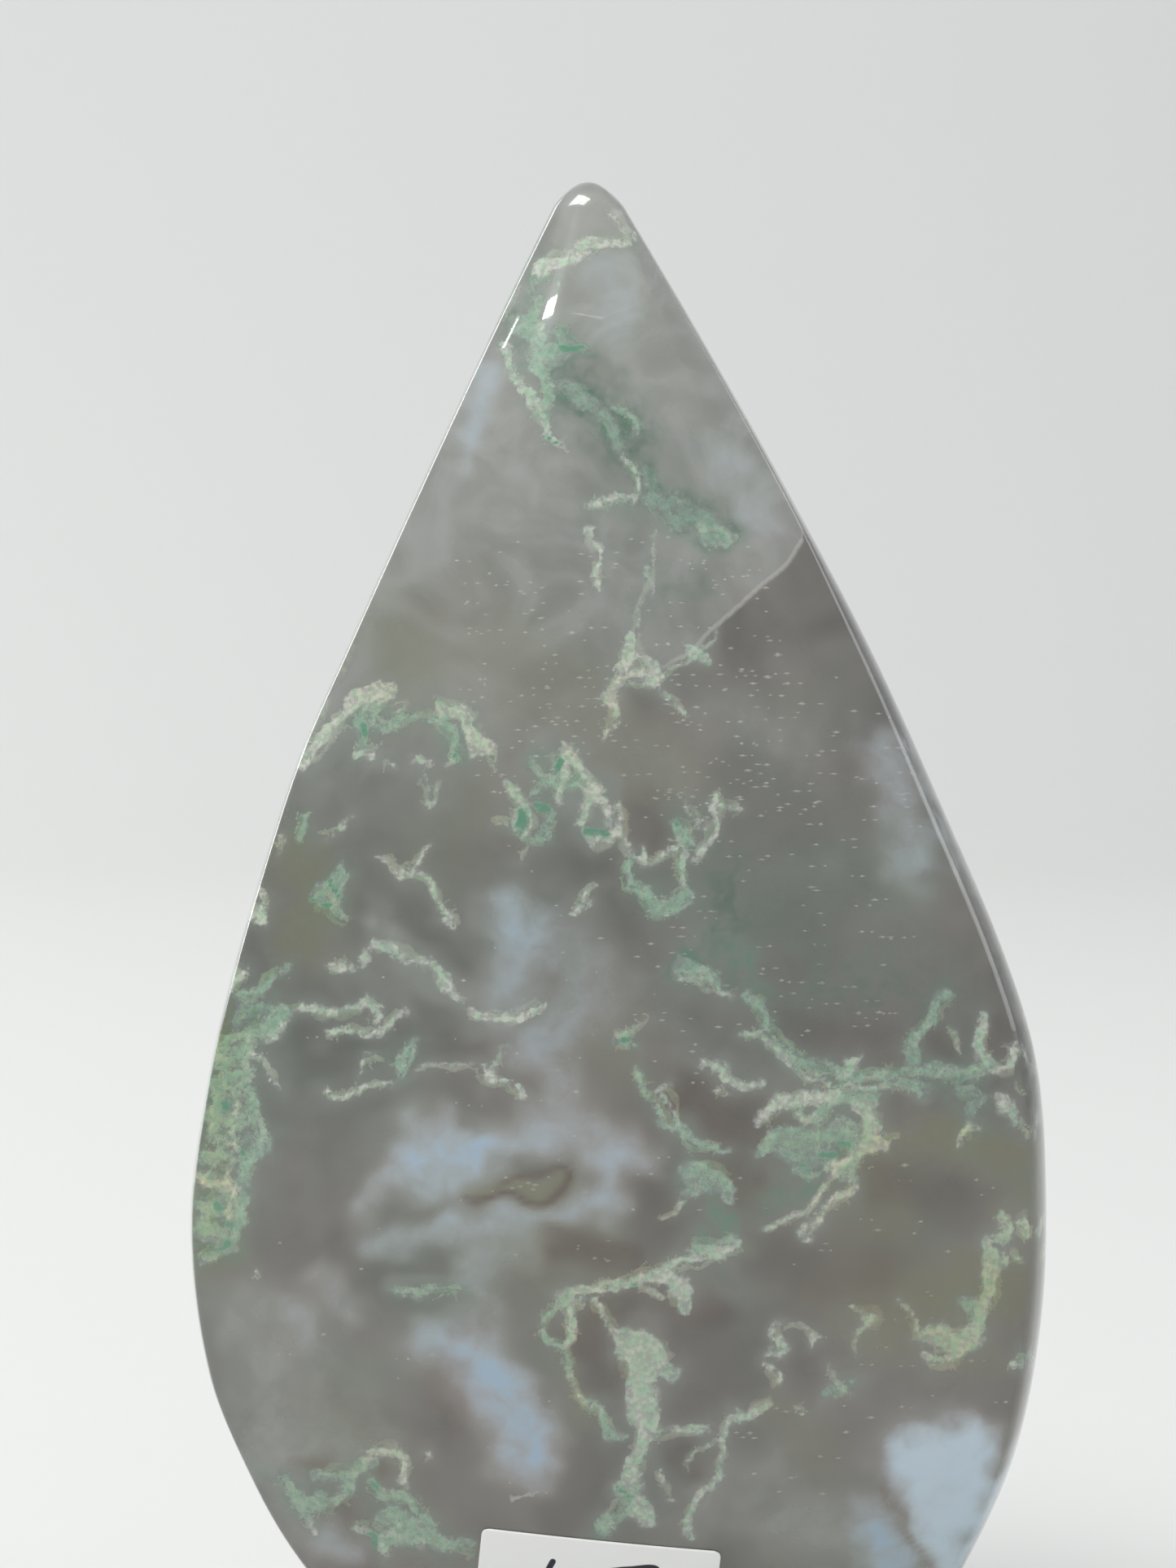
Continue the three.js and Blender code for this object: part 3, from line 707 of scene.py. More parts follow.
# Tint of each look: 0 is cream, 0.5 mint, 1 dark green, then how much it varies, then how many knobs and
# spurs it carries
LOOKS = {
    "cream": (0.14, 0.06, 0.8),
    "pale": (0.24, 0.05, 0.25),
    "slab": (0.26, 0.04, 0.3),
    "bright": (0.26, 0.1, 1.2),
    "mint": (0.56, 0.1, 1.0),
    "green": (0.76, 0.1, 0.8),
    "olive": (0.3, 0.08, 0.8),
    "core": (1.0, 0.03, 0.3),
}
MOSS = CROWN + MIDDLE + LOWER_LEFT + LEFT_EDGE + RIGHT_SIDE + FOOT

# Strands in all: the step along a path, how much of its depth is kept, the cover of stone over moss and
# over cores, the depth from which strands are only painted, and the margin under the surface, all in
# millimetres, then how full the ends are, the creaminess of rims and how far the whole frays, in pixels
PATH_STEP = 0.17
DEPTH_SHARE = 0.55
MOSS_COVER = 0.14
CORE_COVER = 0.02
DEEP = 1.85
MOSS_MARGIN = 0.04
END_FULLNESS = 0.4
RIM_CREAM = 0.75
FRAY_PIXELS = 1.2

# Ribbons: corners around each, pixels of half width for each and the most of them, then how far their rims
# and middles reach and waver, as shares, and how thick they are
RIBBON_SIDES = 8
RIBBON_PIXELS = 5
MOST_RIBBONS = 4
RIM_REACH = 0.9
RIM_WAVER = 0.22
RIM_LIMITS = (0.25, 1.5)
MIDDLE_WAVER = 0.35
RIBBON_FLATNESS = 0.6
RIBBON_THICKEST = 0.35
RIBBON_DIP = 0.1

# Knobs: how many to a square millimetre and at least, how far across they reach, their half sizes and how
# uneven these are, then from where on the lace has holes, near which rim and in how narrow a strand not
KNOB_DENSITY = 26
FEWEST_KNOBS = 3
KNOB_REACH = 1.05
KNOB_SIZES = (0.09, 0.2)
KNOB_STRETCH = (0.8, 1.3)
LACE_HOLES = -0.45
LACE_RIM = 0.85
LACE_LEAST_WIDTH = 6

# Spurs: how many to a millimetre, the step from knob to knob, and the half sizes of the first and the last
SPURS_PER_MM = 0.6
SPUR_STEP = 0.09
SPUR_SIZES = (0.14, 0.08)

# Soft colour within the stone, as strokes: strength, half width in pixels, then the path
CLOUDS = [
    (0.35, 18, [(443, 1485), (470, 1455), (500, 1428)]),
    (0.75, 31, [(512, 1424), (540, 1420), (580, 1420)]),
    (0.5, 19, [(590, 1410), (620, 1406), (660, 1402)]),
    (0.36, 28, [(700, 1392), (745, 1400)]),
    (0.5, 17, [(750, 1416), (796, 1428)]),
    (0.5, 24, [(515, 1448), (550, 1452)]),
    (0.3, 18, [(505, 1372), (515, 1392)]),
    (0.3, 18, [(545, 1374), (550, 1392)]),
    (0.55, 25, [(755, 1430), (745, 1468)]),
    (0.4, 18, [(455, 1532), (490, 1525), (536, 1514)]),
    (0.5, 19, [(560, 1506), (620, 1498), (680, 1494), (735, 1478)]),
    (0.25, 28, [(590, 1540), (640, 1535)]),
    (0.58, 28, [(618, 1115), (640, 1150), (634, 1180), (625, 1212)]),
    (0.28, 44, [(665, 1140), (705, 1180), (730, 1215)]),
    (0.3, 28, [(640, 1280), (680, 1268), (712, 1240)]),
    (0.35, 30, [(672, 1290), (690, 1335), (668, 1380)]),
    (0.27, 22, [(358, 1600), (378, 1640)]),
    (0.25, 20, [(425, 1610), (400, 1570)]),
    (0.8, 30, [(535, 1650), (575, 1672), (610, 1696), (640, 1730), (655, 1765), (656, 1785)]),
    (0.6, 34, [(590, 1700), (620, 1750), (640, 1788)]),
    (0.25, 28, [(580, 1560), (592, 1610), (592, 1640)]),
    (0.6, 44, [(1120, 1790), (1190, 1790), (1180, 1880)]),
    (0.9, 34, [(1078, 1880), (1098, 1925)]),
    (0.4, 32, [(1088, 920), (1108, 980), (1122, 1060)]),
    (0.25, 26, [(890, 560), (920, 610), (935, 640)]),
    (0.45, 17, [(600, 462), (588, 500), (578, 530)]),
    (0.2, 10, [(585, 530), (572, 575)]),
    (0.3, 30, [(740, 330), (765, 370), (755, 395)]),
    (0.4, 18, [(395, 1885), (425, 1905)]),
]
FROST = [
    (0.95, 36, [(1122, 1790), (1188, 1772)]),
    (0.95, 40, [(1138, 1815), (1192, 1812)]),
    (0.95, 36, [(1150, 1862), (1180, 1856)]),
    (0.8, 28, [(1150, 1895), (1165, 1930)]),
]
HOLLOWS = [
    (0.2, 26, [(985, 1262), (1030, 1270), (1080, 1276)]),
    (0.25, 16, [(1160, 1275), (1170, 1290)]),
    (0.25, 12, [(1226, 1262), (1228, 1285)]),
    (0.45, 18, [(835, 1785), (850, 1805)]),
    (0.45, 14, [(375, 1795), (395, 1800)]),
    (0.45, 8, [(465, 1800), (470, 1808)]),
    (0.45, 14, [(412, 1858), (428, 1862)]),
    (0.35, 7, [(1083, 1829), (1090, 1843), (1104, 1864), (1114, 1881), (1125, 1899), (1142, 1925)]),
    (0.75, 6, [(575, 1476), (615, 1474), (655, 1472), (690, 1464), (700, 1454)]),
    (0.6, 5, [(612, 1458), (645, 1446), (685, 1442), (700, 1450)]),
    (0.6, 30, [(850, 1345), (890, 1375), (930, 1380)]),
    (0.4, 26, [(790, 1460), (812, 1500)]),
    (0.6, 22, [(690, 1530), (740, 1540), (780, 1548)]),
    (0.5, 24, [(740, 1612), (770, 1600)]),
    (0.45, 34, [(1090, 1455), (1180, 1470)]),
    (0.15, 36, [(540, 740), (580, 700)]),
    (0.5, 26, [(712, 1640), (742, 1690)]),
    (0.5, 22, [(820, 1600), (850, 1622), (880, 1612)]),
    (0.4, 28, [(560, 1740), (540, 1690)]),
    (0.5, 26, [(900, 1440), (920, 1460)]),
    (0.28, 28, [(788, 996), (804, 1030)]),
    (0.4, 40, [(960, 1540), (1000, 1580), (1080, 1560)]),
]
VEILS = [
    (0.6, 34, [(850, 1190), (880, 1150), (890, 1100)]),
    (0.45, 40, [(880, 1060), (860, 1020)]),
    (0.45, 50, [(930, 1130), (980, 1160), (1050, 1190), (1130, 1200)]),
    (0.4, 30, [(950, 1230), (1040, 1225), (1100, 1235)]),
    (0.35, 24, [(1170, 1180), (1200, 1230)]),
    (0.25, 50, [(930, 1050), (980, 1090)]),
    (0.9, 26, [(700, 470), (725, 492), (755, 520), (772, 555)]),
    (0.6, 26, [(650, 405), (672, 436), (696, 462)]),
    (0.3, 24, [(780, 510), (790, 540)]),
    (0.85, 24, [(800, 610), (835, 622), (862, 638), (888, 652)]),
    (0.35, 20, [(725, 450), (755, 465)]),
    (0.5, 14, [(786, 575), (796, 602)]),
    (0.4, 20, [(795, 738), (830, 726), (862, 716)]),
    (0.45, 34, [(730, 520), (770, 560)]),
    (0.45, 28, [(880, 1500), (920, 1485), (960, 1472), (990, 1460)]),
    (0.4, 24, [(900, 1440), (930, 1450)]),
    (0.45, 22, [(1195, 1345), (1198, 1385)]),
    (0.35, 24, [(845, 1375), (850, 1395)]),
    (0.6, 18, [(842, 1188), (875, 1198), (903, 1214)]),
    (0.4, 30, [(300, 1240), (275, 1330), (272, 1430), (268, 1520)]),
    (0.4, 20, [(650, 400), (670, 430), (690, 420)]),
    (0.3, 26, [(860, 1310), (920, 1320)]),
    (0.5, 20, [(888, 1568), (912, 1590)]),
    (0.45, 26, [(395, 1828), (470, 1868), (545, 1900)]),
    (0.3, 16, [(672, 450), (676, 490)]),
]
OLIVES = [
    (0.5, 60, [(490, 790), (500, 830)]),
    (0.4, 60, [(620, 790), (640, 840)]),
    (0.4, 55, [(790, 940), (820, 950)]),
    (0.75, 40, [(372, 1060), (380, 1110), (372, 1160)]),
    (0.45, 80, [(1040, 1450), (1080, 1560)]),
    (0.35, 60, [(420, 1750), (450, 1780)]),
    (0.45, 40, [(1090, 1410), (1240, 1425)]),
    (0.8, 13, [(1085, 1408), (1140, 1398), (1200, 1410), (1262, 1422)]),
    (0.6, 26, [(1080, 1440), (1100, 1500)]),
    (0.6, 22, [(1240, 1440), (1262, 1470)]),
    (0.7, 30, [(1180, 1560), (1240, 1600)]),
    (0.35, 60, [(730, 1270), (760, 1330)]),
    (0.9, 15, [(590, 1466), (650, 1460), (700, 1457)]),
    (0.6, 40, [(1100, 1590), (1180, 1600), (1240, 1580)]),
    (0.6, 34, [(1120, 1640), (1200, 1670)]),
    (0.6, 22, [(1150, 1385), (1210, 1400)]),
    (0.5, 30, [(960, 1730), (1010, 1790)]),
    (0.5, 40, [(740, 1535), (660, 1530)]),
    (0.6, 16, [(700, 1690), (712, 1722), (716, 1750)]),
    (0.4, 60, [(720, 850), (730, 880)]),
    (0.6, 26, [(1130, 1600), (1200, 1580), (1250, 1560)]),
    (0.9, 34, [(275, 1260), (262, 1330), (260, 1400), (262, 1480), (266, 1540)]),
    (0.4, 30, [(1230, 1490), (1262, 1510)]),
    (0.3, 70, [(640, 1560), (720, 1620)]),
    (0.5, 34, [(1035, 1600), (1075, 1640)]),
    (0.3, 60, [(600, 960), (560, 1040)]),
]
HAZES = [
    (0.15, 50, [(520, 700), (560, 640), (600, 560)]),
    (0.3, 30, [(860, 410), (900, 470)]),
    (0.5, 24, [(540, 858), (570, 885), (590, 915)]),
    (0.7, 27, [(688, 925), (705, 960), (735, 982), (742, 1010)]),
    (0.6, 20, [(465, 1130), (500, 1178), (560, 1218), (610, 1250)]),
    (0.4, 20, [(610, 1250), (665, 1240)]),
    (0.35, 26, [(1215, 1540), (1212, 1600)]),
    (0.35, 24, [(790, 1660), (792, 1760)]),
    (0.35, 24, [(1040, 1365), (1070, 1380)]),
    (0.3, 40, [(380, 1760), (440, 1770)]),
    (0.3, 20, [(776, 790), (776, 830)]),
    (0.3, 30, [(850, 1870), (900, 1800)]),
    (0.6, 11, [(470, 728), (500, 706), (528, 694), (545, 672)]),
    (0.35, 12, [(545, 655), (575, 632), (600, 600)]),
    (0.5, 9, [(628, 560), (650, 590), (654, 612)]),
    (0.45, 8, [(760, 440), (780, 428), (800, 415), (830, 400)]),
    (0.6, 30, [(325, 1790), (355, 1845), (395, 1900)]),
    (0.45, 26, [(350, 1765), (400, 1782), (450, 1772)]),
    (0.5, 12, [(790, 470), (830, 466), (878, 476)]),
    (0.3, 14, [(660, 560), (690, 590), (705, 630)]),
    (0.3, 10, [(820, 470), (850, 480), (878, 478)]),
    (0.3, 20, [(870, 430), (900, 480)]),
    (0.3, 24, [(1050, 1700), (980, 1760), (930, 1820)]),
    (0.6, 50, [(300, 1620), (330, 1700), (370, 1770)]),
    (0.5, 22, [(735, 275), (760, 285), (775, 300)]),
    (0.3, 10, [(600, 500), (585, 545)]),
    (0.35, 9, [(482, 1576), (540, 1573), (590, 1580)]),
    (0.3, 20, [(640, 576), (660, 606)]),
    (0.45, 36, [(880, 1840), (930, 1870), (1000, 1890)]),
    (0.6, 8, [(628, 1460), (665, 1456)]),
    (0.35, 30, [(840, 980), (860, 1010)]),
    (0.3, 40, [(880, 880), (960, 900)]),
    (0.35, 36, [(540, 850), (600, 880)]),
    (0.08, 50, [(960, 960), (1030, 900)]),
    (0.3, 34, [(290, 1290), (330, 1310)]),
    (0.5, 40, [(790, 935), (815, 945)]),
    (0.4, 50, [(490, 790), (510, 815)]),
    (0.4, 50, [(980, 1840), (1030, 1870)]),
    (0.35, 34, [(850, 1180), (885, 1160)]),
    (0.2, 30, [(450, 1200), (490, 1210)]),
    (0.45, 24, [(425, 1774), (462, 1786)]),
    (0.4, 26, [(330, 1790), (352, 1815)]),
    (0.55, 32, [(1035, 1600), (1075, 1630)]),
    (0.25, 50, [(400, 1690), (440, 1710)]),
    (0.25, 40, [(290, 1740), (310, 1770)]),
    (0.3, 14, [(740, 262), (760, 275)]),
]
FRACTURE = [(985, 665), (965, 695), (935, 720), (900, 752), (870, 778), (850, 800), (830, 812), (770, 845)]

# Strokes that are painted as a value of the same name
STROKES = {
    "cloud": CLOUDS,
    "frost": FROST,
    "veil": VEILS,
    "olive": OLIVES,
    "haze": HAZES,
    "hollow": HOLLOWS,
}

# How far a stroke reaches, in half widths, and the steps along it in each half width, then the steps along
# a strand and the fracture, and how far the fracture takes to show fully, in pixels
STROKE_REACH = 2.6
STROKE_PARTS = 3
STRAND_STEP = 5
FRACTURE_STEP = 4
FRACTURE_FADE = 160


def places_near(pixels, path, margin):
    """Which places lie within a margin of a path's box, and how far each of those is from the path."""
    low = path.min(axis=0) - margin
    high = path.max(axis=0) + margin
    near = np.flatnonzero(np.all((pixels > low) & (pixels < high), axis=1))
    gaps = np.full(len(near), np.inf)
    for point in path:
        gaps = np.minimum(gaps, np.hypot(*(pixels[near] - point).T))
    return near, gaps


def soft_strokes(pixels, strokes):
    """How strongly soft strokes cover places, from 0 to 1."""
    bare = np.ones(len(pixels))
    for strength, half_width, points in strokes:
        path = smooth_path(points, half_width / STROKE_PARTS)
        near, gaps = places_near(pixels, path, half_width * STROKE_REACH)
        bare[near] *= 1 - strength * np.exp(-(gaps / half_width) ** 2)
    return 1 - bare


def moss_under(pixels, strands):
    """How far inside a strand's rim each place lies, in millimetres, and that strand's tint."""
    inside = np.full(len(pixels), -1.0)
    tints = np.zeros(len(pixels))
    for look, half_width, depth, points in strands:
        if depth > DEEP:
            continue
        path = smooth_path(points, STRAND_STEP)
        near, gaps = places_near(pixels, path, half_width + 1 / MM_PER_PIXEL)
        found = (half_width - gaps) * MM_PER_PIXEL
        better = found > inside[near]
        inside[near[better]] = found[better]
        tints[near[better]] = LOOKS[look][0]
    return inside, tints


def side_of_fracture(pixels):
    """Distance in millimetres from the fracture line, positive above and left of it, and how far off its
    lower end each place lies, from 0 to 1."""
    line = np.array(FRACTURE, float)
    path = smooth_path(line, FRACTURE_STEP)
    _, gaps = places_near(pixels, path, 1e5)
    across = np.interp(pixels[:, 1], line[:, 1], line[:, 0])
    beyond = np.minimum(np.hypot(*(pixels - line[-1]).T), FRACTURE_FADE) / FRACTURE_FADE
    sign = np.where(pixels[:, 0] < across, 1.0, -1.0)
    return gaps * MM_PER_PIXEL * sign, beyond


# How far placed points stay from the base and the tip, in millimetres, and from the back, in margins
BASE_MARGIN = 0.2
TIP_MARGIN = 2.5
BACK_MARGINS = 3


def keep_inside(points, margin):
    """Moves points in millimetres of the frame that would stand out of the stone back under its surface."""
    x = points[:, 0] - SHIFT[0]
    y = points[:, 1] - SHIFT[1]
    z = np.clip(points[:, 2], margin + BASE_MARGIN, HEIGHT - TIP_MARGIN)
    left = left_outline(z) + left_ridge_inset(z) + margin
    right = right_outline(z) - right_ridge_inset(z) - margin
    x = np.clip(x, left, right)
    nearest = front_y(x, z) + margin
    y = np.clip(y, nearest, np.maximum(back_y(x, z) - margin * BACK_MARGINS, nearest))
    return np.column_stack([x + SHIFT[0], y + SHIFT[1], z])


# The way round from the right ridge over the back to the left ridge, in even shares of each ring
WAY_SHARES = 160
framed_rings = into_frame(rings)
way_round = np.concatenate([framed_rings[:, FRONT_COLUMNS:], framed_rings[:, :1]], axis=1)
way_steps = np.linalg.norm(np.diff(way_round, axis=1), axis=2)
way_share = np.concatenate([np.zeros((len(rings), 1)), np.cumsum(way_steps, axis=1)], axis=1)
way_share /= way_share[:, -1:]
even_shares = np.linspace(0, 1, WAY_SHARES)
way_table = np.array([
    np.column_stack([np.interp(even_shares, share, ring[:, axis]) for axis in range(3)])
    for share, ring in zip(way_share, way_round)
])
right_pixels = pixels_of(way_round[:, 0])
left_pixels = pixels_of(way_round[:, -1])


# How the pattern drifts on its way to the back, in pixels: waves as size, reach and start, then a lift
DRIFT_ACROSS = (80, 150, 0.6)
COUNTER_DRIFT = (30, 90, 0)
DRIFT_UP = (110, 170, 1.2)
LIFT = 70


def wave(values, size, reach, start):
    """A wave of a size along values."""
    return size * np.sin(values / reach + start)


def wandered(path):
    """Where a path of the front shows on the back: inclusions wander on their way through the stone."""
    path = np.array(path, float)
    height = (BASE_Y_PIXEL - path[:, 1]).clip(0, HEIGHT / MM_PER_PIXEL) * MM_PER_PIXEL
    left = left_outline(height) / MM_PER_PIXEL + MIDDLE_X_PIXEL
    right = right_outline(height) / MM_PER_PIXEL + MIDDLE_X_PIXEL
    across = ((2 * path[:, 0] - left - right) / (right - left)).clip(-1, 1)
    free = (1 - across ** 2)[:, None]
    drift = np.column_stack([
        wave(path[:, 1], *DRIFT_ACROSS) - wave(path[:, 0], *COUNTER_DRIFT),
        wave(path[:, 0], *DRIFT_UP) - LIFT,
    ])
    return path + drift * free


def as_on_back(strokes):
    """Strokes or strands of the front, with their paths as they show on the back."""
    return [(*stroke[:-1], wandered(stroke[-1])) for stroke in strokes]


# The rings at the foot and the tip, and the share of the way round at each ridge, that stay free of moss
FREE_ROWS_BELOW = RIM_ROWS + 2
FREE_ROWS_ABOVE = 12
FREE_WAY = 0.02


def behind_back(pixels, depth):
    """Points at a depth under the sides and back, at places of the pattern that goes round them."""
    every = np.arange(len(rings))
    row = np.interp(-pixels[:, 1], -(right_pixels[:, 1] + left_pixels[:, 1]) / 2, every)
    row = row.clip(FREE_ROWS_BELOW, len(rings) - FREE_ROWS_ABOVE)
    right = np.interp(row, every, right_pixels[:, 0])
    left = np.interp(row, every, left_pixels[:, 0])
    column = ((right - pixels[:, 0]) / (right - left)).clip(FREE_WAY, 1 - FREE_WAY) * (WAY_SHARES - 1)

    def at(row, column):
        i = np.clip(row.astype(int), 0, len(rings) - 2)
        j = np.clip(column.astype(int), 0, WAY_SHARES - 2)
        u = (row - i)[:, None]
        v = (column - j)[:, None]
        near = way_table[i, j] * (1 - v) + way_table[i, j + 1] * v
        far = way_table[i + 1, j] * (1 - v) + way_table[i + 1, j + 1] * v
        return near * (1 - u) + far * u

    point = at(row, column)
    inward = np.cross(at(row, column + 1) - point, at(row + 1, column) - point)
    inward /= np.linalg.norm(inward, axis=1)[:, None] + 1e-9
    to_middle = np.array([0, SHIFT[1], 0]) - point
    to_middle[:, 2] = 0
    inward *= np.sign(np.sum(inward * to_middle, axis=1))[:, None]
    return point + inward * np.reshape(depth, (-1, 1))


def irregular_pattern(reach, waves=9):
    """A smooth irregular pattern over places, mostly between -1.5 and 1.5, with patches a reach across."""
    angles = rng.uniform(0, np.pi, waves)
    lengths = np.pi / reach * rng.uniform(0.6, 1.5, waves)
    phases = rng.uniform(0, 2 * np.pi, waves)
    ways = np.column_stack([np.cos(angles), np.sin(angles)]) * lengths[:, None]

    def at(places):
        return np.sin(np.asarray(places) @ ways.T + phases).sum(axis=1) / math.sqrt(waves / 2)

    return at


lace = irregular_pattern(7)
fray_x = irregular_pattern(9)
fray_z = irregular_pattern(9)


class Strand:
    """A strand of moss: flat ribbons with scalloped rims, creamy at the rim and greener within, strewn with
    knobs and a few spurs. place(path, across, inward, at) gives its points from sideways offsets and depths
    in millimetres."""

    def __init__(self, look, half_width, place, path):
        self.tint, self.spread, self.fullness = LOOKS[look]
        self.rim_cream = 0 if look == "core" else RIM_CREAM
        self.half_width = half_width
        self.width = half_width * MM_PER_PIXEL
        self.place = place
        self.path = path
        self.count = len(path)
        self.ends = np.sin(np.linspace(0.1, 0.9, self.count) * np.pi) ** END_FULLNESS
        ribbons = np.clip(round(half_width / RIBBON_PIXELS), 1, MOST_RIBBONS)
        self.ribbons = 1 if look in ("slab", "pale") else int(ribbons)

    def rim(self):
        """How far a ribbon's rim stands out along it, as a share of its half width."""
        return RIM_REACH + RIM_WAVER * smooth_noise(self.count, 2) + RIM_WAVER * smooth_noise(self.count, 5)

    def add_ribbons(self, heap):
        """The ribbons side by side across the strand."""
        count = self.count
        angle = 2 * np.pi * np.arange(RIBBON_SIDES) / RIBBON_SIDES
        at = np.repeat(np.arange(count), RIBBON_SIDES)
        for k in range(self.ribbons):
            middle = ((2 * k + 1) / self.ribbons - 1) * RIM_REACH
            middle = middle + MIDDLE_WAVER * smooth_noise(count, 7) / self.ribbons
            rims = [self.rim() for _ in range(2)]
            half = np.where(np.cos(angle) > 0, rims[0][:, None], rims[1][:, None]).clip(*RIM_LIMITS)
            half = half * (self.width / self.ribbons * self.ends)[:, None]
            across = (middle * self.width * self.ends)[:, None] + half * np.cos(angle)
            sunk = np.minimum(half * RIBBON_FLATNESS, RIBBON_THICKEST) * (1 - np.sin(angle))
            inward = sunk + np.abs(smooth_noise(count, 6))[:, None] * RIBBON_DIP
            shades = self.tint * (1 - self.rim_cream * np.cos(angle) ** 2)
            shades = shades + self.spread * smooth_noise(count, 4)[:, None]
            points = self.place(self.path[at], across.ravel(), inward.ravel(), at)
            heap.skin(points.reshape(count, RIBBON_SIDES, 3), shades + rng.normal() * self.spread)

    def add_knobs(self, heap, share_kept):
        """Knobs all over the strand, apart from the holes in its lace."""
        knobs = int(self.count * PATH_STEP * self.width * KNOB_DENSITY * self.fullness * share_kept)
        knobs += FEWEST_KNOBS
        at = rng.integers(0, self.count, knobs)
        share = rng.uniform(-KNOB_REACH, KNOB_REACH, knobs)
        holes = lace(self.path[at] + share[:, None] * self.half_width) + rng.normal(size=knobs) * 0.2
        kept = (holes > LACE_HOLES) | (np.abs(share) > LACE_RIM) | (self.half_width < LACE_LEAST_WIDTH)
        at = at[kept]
        share = share[kept]
        inward = rng.uniform(-0.02, 0.12, len(at)) + share ** 2 * self.width * 0.25
        sizes = rng.uniform(*KNOB_SIZES, (len(at), 1)) * rng.uniform(*KNOB_STRETCH, (len(at), 3))
        sizes = sizes * min(0.7 + 0.5 * self.width, 1.2)
        tints = self.tint * (1 - self.rim_cream * share ** 2) + rng.normal(size=len(at)) * self.spread * 1.5
        centres = self.place(self.path[at], share * self.width * self.ends[at], inward, at)
        heap.beads(centres, sizes, tints)

    def add_spurs(self, heap, share_kept):
        """Short rows of ever smaller knobs that lean out from the strand's sides."""
        spurs = int(self.count * PATH_STEP * SPURS_PER_MM * self.fullness * share_kept) + 1
        for _ in range(spurs):
            root = rng.integers(0, self.count)
            steps = rng.integers(3, 7)
            side = rng.choice((-1, 1))
            lean = rng.normal() * 0.7
            along = np.clip(root + lean * np.arange(steps) * 0.6, 0, self.count - 1).astype(int)
            across = side * (self.width * 0.8 + np.arange(steps) * SPUR_STEP * rng.uniform(0.6, 1.2))
            sizes = np.linspace(*SPUR_SIZES, steps) * rng.uniform(0.8, 1.2, steps)
            inward = self.width * 0.3 + rng.uniform(0, 0.1, steps)
            centres = self.place(self.path[along], across, inward, along)
            tints = self.tint * (1 - self.rim_cream) + rng.normal(size=steps) * self.spread
            heap.beads(centres, sizes, tints)


def placer(path, depth, behind):
    """Places a strand's points behind a face, at the pixels of its path."""
    turn = np.gradient(path, axis=0)
    turn /= np.linalg.norm(turn, axis=1)[:, None] + 1e-9
    sideways = np.column_stack([-turn[:, 1], turn[:, 0]])

    def place(points, across, inward, at):
        pixels = points + sideways[at] * (np.asarray(across) / MM_PER_PIXEL)[:, None]
        pixels = pixels + np.column_stack([fray_x(pixels), fray_z(pixels)]) * FRAY_PIXELS
        return behind(pixels, depth + np.asarray(inward))

    return place


def add_moss(name, strands, material, behind=behind_front, share_kept=1.0):
    """A piece of moss grown along its strands, each at its depth behind a face."""
    heap = Heap()
    for look, half_width, depth, points in strands:
        if depth > DEEP:
            continue
        path = smooth_path(points, PATH_STEP / MM_PER_PIXEL)
        wobble = np.column_stack([smooth_noise(len(path), 8), smooth_noise(len(path), 8)])
        path = path + wobble * min(half_width * 0.3, 2.5)
        cover = CORE_COVER if look == "core" else MOSS_COVER
        place = placer(path, depth * DEPTH_SHARE + cover, behind)
        strand = Strand(look, half_width, place, path)
        strand.add_ribbons(heap)
        strand.add_knobs(heap, share_kept)
        strand.add_spurs(heap, share_kept)
    points = np.vstack(heap.points)
    if behind is behind_front:
        points = keep_inside(points, MOSS_MARGIN)
    faces = np.vstack(heap.faces)
    print(name, len(faces), "triangles")
    values = {"tint": np.concatenate(heap.tints), "warmth": soft_strokes(pixels_of(points), OLIVES)}
    add_mesh(name, points, faces, material, values)


def new_material(name):
    """A material, its nodes and links, its shader and its output."""
    material = bpy.data.materials.new(name)
    material.use_nodes = True
    nodes = material.node_tree.nodes
    return material, nodes, material.node_tree.links, nodes["Principled BSDF"], nodes["Material Output"]


def plain_material(name, colour, roughness):
    """A material of one colour."""
    material, _, _, shader, _ = new_material(name)
    shader.inputs["Base Color"].default_value = (*colour, 1)
    shader.inputs["Roughness"].default_value = roughness
    return material


def colour_ramp(nodes, stops):
    """A ramp through colours, each given with its place on it."""
    ramp = nodes.new("ShaderNodeValToRGB")
    while len(ramp.color_ramp.elements) < len(stops):
        ramp.color_ramp.elements.new(0.5)
    for element, (place, colour) in zip(ramp.color_ramp.elements, stops):
        element.position = place
        element.color = (*colour, 1)
    return ramp


# Colours of the moss from its tint, and what olive warmth multiplies them by
MOSS_COLOURS = [
    (0.0, (0.86, 0.88, 0.74)),
    (0.25, (0.56, 0.82, 0.53)),
    (0.5, (0.25, 0.67, 0.34)),
    (0.75, (0.05, 0.42, 0.19)),
    (1.0, (0.01, 0.12, 0.05)),
]
WARM_MOSS = (1.0, 0.90, 0.48)
MOSS_KNOB_SCALE = 1350

# Noises that break up what is painted: scale, detail and distortion
NOISES = {
    "broad": (55, 2, 0.6),
    "clearness": (130, 3, 0.5),
    "marble": (170, 4, 1.6),
    "mottle": (420, 4, 0.3),
    "frost": (600, 4, 0.5),
    "cloud": (620, 8, 0.5),
    "bevel": (700, 5, 0.6),
    "curd": (900, 4, 0.4),
    "rim": (1800, 2, 0.3),
    "core": (2200, 2, 0.3),
    "grain": (2600, 2, 0.3),
    "specks": (2600, 3, 0.3),
}

